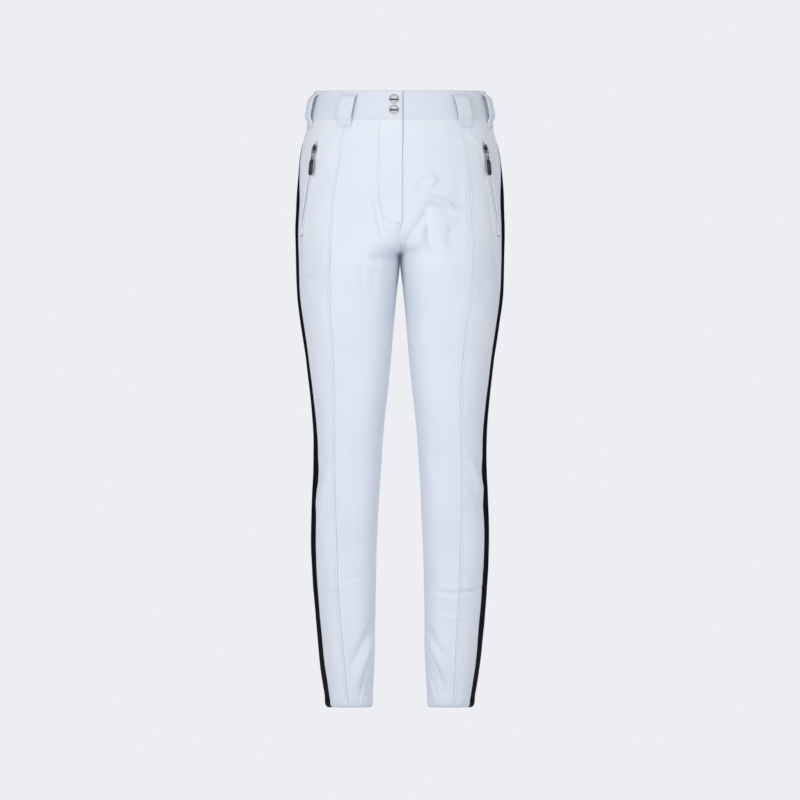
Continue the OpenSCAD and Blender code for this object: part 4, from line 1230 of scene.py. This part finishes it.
def pull_parts():
    """Dished tab, its three ridges, its neck and the eye round the link."""
    tab = pill(28, TAB_W, 72, spot=(TAB_PIN, 0))
    tab[:, 1] *= 0.93 + 0.07 * np.clip((tab[:, 0] - 4) / 18, 0, 1)
    ridges = [pad(pill(19, 1.5, 20, spot=(TAB_PIN + 1, z)), 0.5, 1.12, 0.3)
              for z in (-2.7, 0.0, 2.7)]
    eye = [(1.1, -2.2), (1.75, -2.2), (2.1, -1.9), (2.1, 1.9), (1.75, 2.2), (1.1, 2.2)]
    neck = block((-1.0, 0.9, -2.1), (1.0, 4.2, 2.1), 0.3)
    return [pad(tab, -1.2, 1.2, 0.45, 0.55), *ridges, neck, lathe(eye, 40, hollow=True)]


def bag_relief(away, d):
    return groove(np.minimum(away[:, :, 0], -away[:, :, -1]) - 4, 0.3, 0.8)


at_slider = arc_frame(SLIDER_AT)
o, out, down, across = at_slider
plumb = math.cos(HANG) * down - math.sin(HANG) * across
beside = math.cos(HANG) * across + math.sin(HANG) * down
pivot = o + out * LINK_X + down * LINK_Y
down_share = np.clip((BAG_DROPS - 272) / BAG_ROUND, 0, 1)
tuck = 26 * (1 - np.sqrt(np.maximum(1 - down_share ** 2, 0.02)))
for word, side in SIDES.items():
    built(f"pocket_tape_{word}", half_zips(POCKET_TAPE), side, TAPE, "garment", "zip_tape",
          f"pocket_zip_tapes_{word}")
    built(f"pocket_coil_{word}", half_zips(POCKET_COIL, COIL_ALONG, COIL_SWELL), side, COIL,
          "garment", "zip_coil", f"pocket_zip_coil_{word}")
    built(f"pocket_slider_body_{word}", slider_parts(), side, GUNMETAL,
          f"pocket_slider_body_{word}", "gunmetal", f"pocket_slider_{word}", place=at_slider)
    built(f"pocket_link_ring_{word}", [link_ring()], side, GUNMETAL,
          f"pocket_link_body_{word}", "gunmetal", f"pocket_link_{word}",
          place=(pivot, out, plumb, beside))
    built(f"pocket_pull_tab_{word}", pull_parts(), side, GUNMETAL,
          f"pocket_pull_body_{word}", "pull_tab", f"pocket_pull_{word}",
          place=(pivot + plumb * LINK_L, out, plumb, beside))
    keep(panel(
        f"pocketing_{word}", side, BAG_DROPS, [
            turn_at(100 + tuck, BAG_DROPS),
            turn_at(0.955 * shape(BAG_DROPS, SIDE) - tuck, BAG_DROPS)], [20], POCKETING,
        out=-9.5, thick=2.4, folds=0.0, relief=bag_relief), "pocketing", f"pocket_bag_{word}")

# ---------------------------------------------------------------- hems and gaiters
HEM_DROPS = spaced([HEM_H], 6, (0, 0.25, 0.6, 1.0))[0] + PANTS_H - HEM_H
GAITER_LOW, GAITER_H = PANTS_H - 10, 155.0
GAITER_DROPS = drops_between(GAITER_LOW - GAITER_H, GAITER_LOW, 4.0)
CUFF_DROPS = drops_between(GAITER_LOW - 22, GAITER_LOW - 2, 2.2)


def hem_ripple(turns, d):
    wave = np.sin(np.pi * turns * 37 + 1.7 * np.sin(np.pi * turns * 5))
    return 0.28 * wave * ease((d - PANTS_H + HEM_H + 1) / 4)


def gaiter_ripple(turns, d):
    share = ease((d - 950) / 40)
    return 0.7 * share * np.sin(np.pi * turns * 41 + 1.3 * np.sin(np.pi * turns * 6)) - 0.35 * share


def gaiter_out(d):
    return -mix(2.5, 11, ease((d - GAITER_LOW + GAITER_H) / GAITER_H))


hems, gaiters, cuffs = {}, {}, {}
for word, side in SIDES.items():
    hems[side] = keep(ring(
        f"hem_{word}", side, HEM_DROPS, 420, SHADED_SHELL, lambda d: 0.4 - hem_tuck(d), 2.6, hem_ripple),
        "hem", f"hem_band_{word}")
    gaiters[side] = keep(ring(
        f"gaiter_{word}", side, GAITER_DROPS, 300, GAITER, gaiter_out, 0.8, gaiter_ripple),
        "gaiter", f"snow_gaiter_{word}")
    cuffs[side] = keep(ring(
        f"gaiter_cuff_{word}", side, CUFF_DROPS, 300, ELASTIC, -12.1, 1.2,
        lambda turns, d: 0.12 * np.sin(np.pi * turns * 90)), "elastic", f"gaiter_elastic_{word}")

# ---------------------------------------------------------------- stitching
ON_BAND = BAND_OUT + 0.05
TACK = (1.0, 1.0)  # pitch and length of a bar tack's stitches
BACK_SEAM = 1.99


def seam(side, turns, drops, *place):
    garment_seams.append(line_on(side, turns, drops, *place))


for side in (RIGHT, LEFT):
    d = np.arange(BAND_H + 3, BOTTOM - 3, 3.0)
    seam(side, shifted(princess(side, d), d, SEAM_STITCH), d)
    d = np.arange(90.0, BOTTOM - 3, 3.0)
    seam(side, shifted(stripe_turn(d, False), d, -2.6), d)
    seam(side, shifted(stripe_turn(d, True), d, 2.6), d)
    d = np.arange(BAND_H + 3, RISE - 8, 3.0)
    for beside_seam in (-1.4, -5.4):
        seam(side, shifted(np.full(d.shape, BACK_SEAM), d, beside_seam), d)
    d = np.arange(SLOT_TOP + 1, SLOT_LOW, 2.0)
    for k, edge in zip((-1, 1), slot_edges[side]):
        seam(side, shifted(np.interp(d, SIDE_DROPS, edge), d, k * SLOT_STITCH), d, 0.4)
    for end in (SLOT_TOP - SLOT_STITCH, SLOT_LOW + SLOT_STITCH):
        a, b = (np.interp(end, SIDE_DROPS, e) for e in slot_edges[side])
        garment_seams.append((*line_on(side, np.linspace(a, b, 8), end, 0.45), *TACK, 0.33))
    seam(side, np.linspace(0.004, 1.996, 160), BOTTOM - 4.5)
d = np.arange(FLY_DROP + 5, RISE - 6, 2.0)
seam(RIGHT, shifted(np.zeros(d.shape), d, 3.0), d, 0.1, fly_lift)
seam(LEFT, shifted(np.zeros(d.shape), d, 3.0), d)
for drop in BAND_STITCHES:
    for side, start, count in ((LEFT, 6.0, 200), (RIGHT, BAND_JOIN + 1, 170)):
        seam(side, np.linspace(float(turn_at(start, drop)), 1.994, count), drop, ON_BAND)
stitching = keep(sewn("stitching", garment_seams, THREAD), "shell")

flap_seams = []
for off in (0.0, 3.2):
    path = smooth_path([(FLY_X - off, drop) for drop in (51, 90, 130, 162)] + [
        (32.5 - 0.8 * off, 196), (25 - 0.5 * off, 211 - 0.6 * off), (13, 218.5 - off),
        (0, 220.5 - off)], 160)
    flap_seams.append(line_on(RIGHT, turn_at(path[:, 0], path[:, 1]), path[:, 1], 0.12, fly_lift))
for drop in (218.8, 220.0, 221.2):  # bar tack at the fly's end
    x = np.linspace(7.5, -1.5, 14)
    slant = drop + (7.5 - x) * 0.12
    flap_seams.append((*line_on(RIGHT, turn_at(x, slant), slant, 0.15, fly_lift), *TACK, 0.22))
for drop in BAND_STITCHES:
    turns = turn_at(np.linspace(-2.2, BAND_JOIN - 1, 50), drop)
    flap_seams.append(line_on(RIGHT, turns, drop, ON_BAND, band_lift))
d = np.arange(2.4, BAND_H - 2, 2.0)
flap_seams.append(line_on(RIGHT, turn_at(-2.0, d), d, ON_BAND, band_lift))
flap_stitching = keep(sewn("flap_stitching", flap_seams, THREAD, None), "shell")
bends(flap_stitching)

d = np.arange(96.0, BOTTOM - 3, 3.0)
keep(sewn("stripe_stitching", [
    line_on(side, shifted(stripe_turn(d, behind), d, inward), d, 0.3)
    for side in (RIGHT, LEFT) for behind, inward in ((False, 1.6), (True, -1.6))],
    BLACK_THREAD), "stripe")

# CAD parts that keep their own shape
for node, material in (
        ("fly_zip_stops", STEEL), ("snap_sockets", STEEL), ("snap_studs", STEEL),
        ("snap_backs", STEEL), ("pocket_zip_stops_right", GUNMETAL),
        ("pocket_zip_stops_left", GUNMETAL)):
    mesh = frame["nodes"][node].data
    mesh.materials.clear()
    mesh.materials.append(material)

# ---------------------------------------------------------------- stage, light and camera
FLOOR_Z, FLOOR_COLOR, BACKDROP, ROOM = -1.28, (0.78, 0.79, 0.82), (0.847, 0.855, 0.888), 0.57
DISTANCE, VIEW_W, VIEW_MIDDLE, SENSOR = 30.0, 1.32, -0.5115, 36.0


def floor():
    material, tree, shader = nodes_for("studio_floor")
    grain = add(tree, "ShaderNodeTexNoise", values={"Scale": 3.0}).outputs["Fac"]
    tone = ramp(tree, grain, (0.3, tuple(0.98 * c for c in FLOOR_COLOR)), (0.7, FLOOR_COLOR))
    tree.links.new(tone, shader.inputs["Base Color"])
    shader.inputs["Roughness"].default_value = 0.9
    mesh = bpy.data.meshes.new("studio_floor")
    corners = [(x, y, FLOOR_Z) for x, y in ((-2.4, -2.0), (2.4, -2.0), (2.4, 2.2), (-2.4, 2.2))]
    mesh.from_pydata(corners, [], [[0, 1, 2, 3]])
    mesh.materials.append(material)
    put("studio_floor", mesh)


def studio_world():
    """The camera sees a plain backdrop, metal mirrors a studio, and a room lights the cloth."""
    world = bpy.data.worlds.new("studio")
    bpy.context.scene.world = world
    world.use_nodes = True
    tree = world.node_tree
    tree.nodes.clear()
    direction = add(tree, "ShaderNodeTexCoord").outputs["Generated"]
    parts = add(tree, "ShaderNodeSeparateXYZ", {"Vector": direction}).outputs
    ahead = add(tree, "ShaderNodeMapRange", {"Value": parts["Y"]}, {
        "From Min": -1.0, "From Max": 1.0, "To Min": 1.0, "To Max": 0.0}).outputs["Result"]
    upward = add(tree, "ShaderNodeMapRange", {"Value": parts["Z"]},
                 {"From Min": -1.0}).outputs["Result"]
    lit = ramp(tree, ahead, (0.0, (0.92, 0.94, 0.99)), (0.3, (0.98, 1.0, 1.05)),
               (0.55, (1.05, 1.06, 1.09)), (1.0, (0.88, 0.88, 0.89)))
    # metal sees a dark horizon and a dark room behind, as in a studio
    mirror = ramp(tree, upward, (0.0, 0.3), (0.42, 0.7), (0.53, 0.72), (0.545, 0.05),
                  (0.585, 0.05), (0.6, 0.8), (1.0, 0.6))
    behind = ramp(tree, ahead, (0.3, 0.03), (0.6, 0.10), (0.78, 1.0))
    shiny = add(tree, "ShaderNodeMixRGB", {1: mirror, 2: behind}, {0: 1.0}, blend_type="MULTIPLY")
    gloss = add(tree, "ShaderNodeBackground", {"Color": shiny.outputs["Color"]})
    seen = add(tree, "ShaderNodeBackground", values={"Color": (*BACKDROP, 1)})
    room = add(tree, "ShaderNodeBackground", {"Color": lit}, {"Strength": ROOM})
    rays = add(tree, "ShaderNodeLightPath").outputs
    around = add(tree, "ShaderNodeMixShader", {
        0: rays["Is Glossy Ray"], 1: room.outputs[0], 2: gloss.outputs[0]})
    both = add(tree, "ShaderNodeMixShader", {
        0: rays["Is Camera Ray"], 1: around.outputs[0], 2: seen.outputs[0]})
    add(tree, "ShaderNodeOutputWorld", {"Surface": both.outputs[0]})


def area_light(name, at, aim, size, power, color):
    lamp = bpy.data.lights.new(name, "AREA")
    lamp.shape, lamp.size, lamp.size_y = "RECTANGLE", *size
    lamp.energy, lamp.color = power, color
    thing = put(name, lamp)
    thing.location = at
    thing.rotation_mode = "QUATERNION"
    away = Vector([a - b for a, b in zip(at, aim)])
    thing.rotation_quaternion = away.to_track_quat("Z", "Y")
    thing.visible_glossy = False


def front_camera():
    """From far away, so that the view is nearly parallel."""
    camera = bpy.data.cameras.new("camera")
    camera.sensor_width = SENSOR
    camera.lens = SENSOR * DISTANCE / VIEW_W
    camera.clip_start, camera.clip_end = 0.1, 120.0
    thing = put("camera", camera)
    thing.location = (0.0, -DISTANCE - 0.1, VIEW_MIDDLE)
    thing.rotation_euler = (math.radians(90), 0, 0)
    bpy.context.scene.camera = thing


floor()
studio_world()
area_light("key_softbox", (-1.0, -2.0, 0.3), (0, 0, -0.25), (1.0, 1.0), 17.5, (1.0, 0.995, 1.0))
area_light("low_fill", (0.9, -1.9, -0.1), (0, 0, -0.25), (0.9, 0.7), 7, (0.98, 0.99, 1.0))
area_light("back_softbox", (0.9, 2.4, 1.0), (0, 0, -0.3), (1.2, 1.2), 24, (1.0, 1.0, 1.0))
front_camera()
bpy.context.scene.view_settings.view_transform = "Standard"
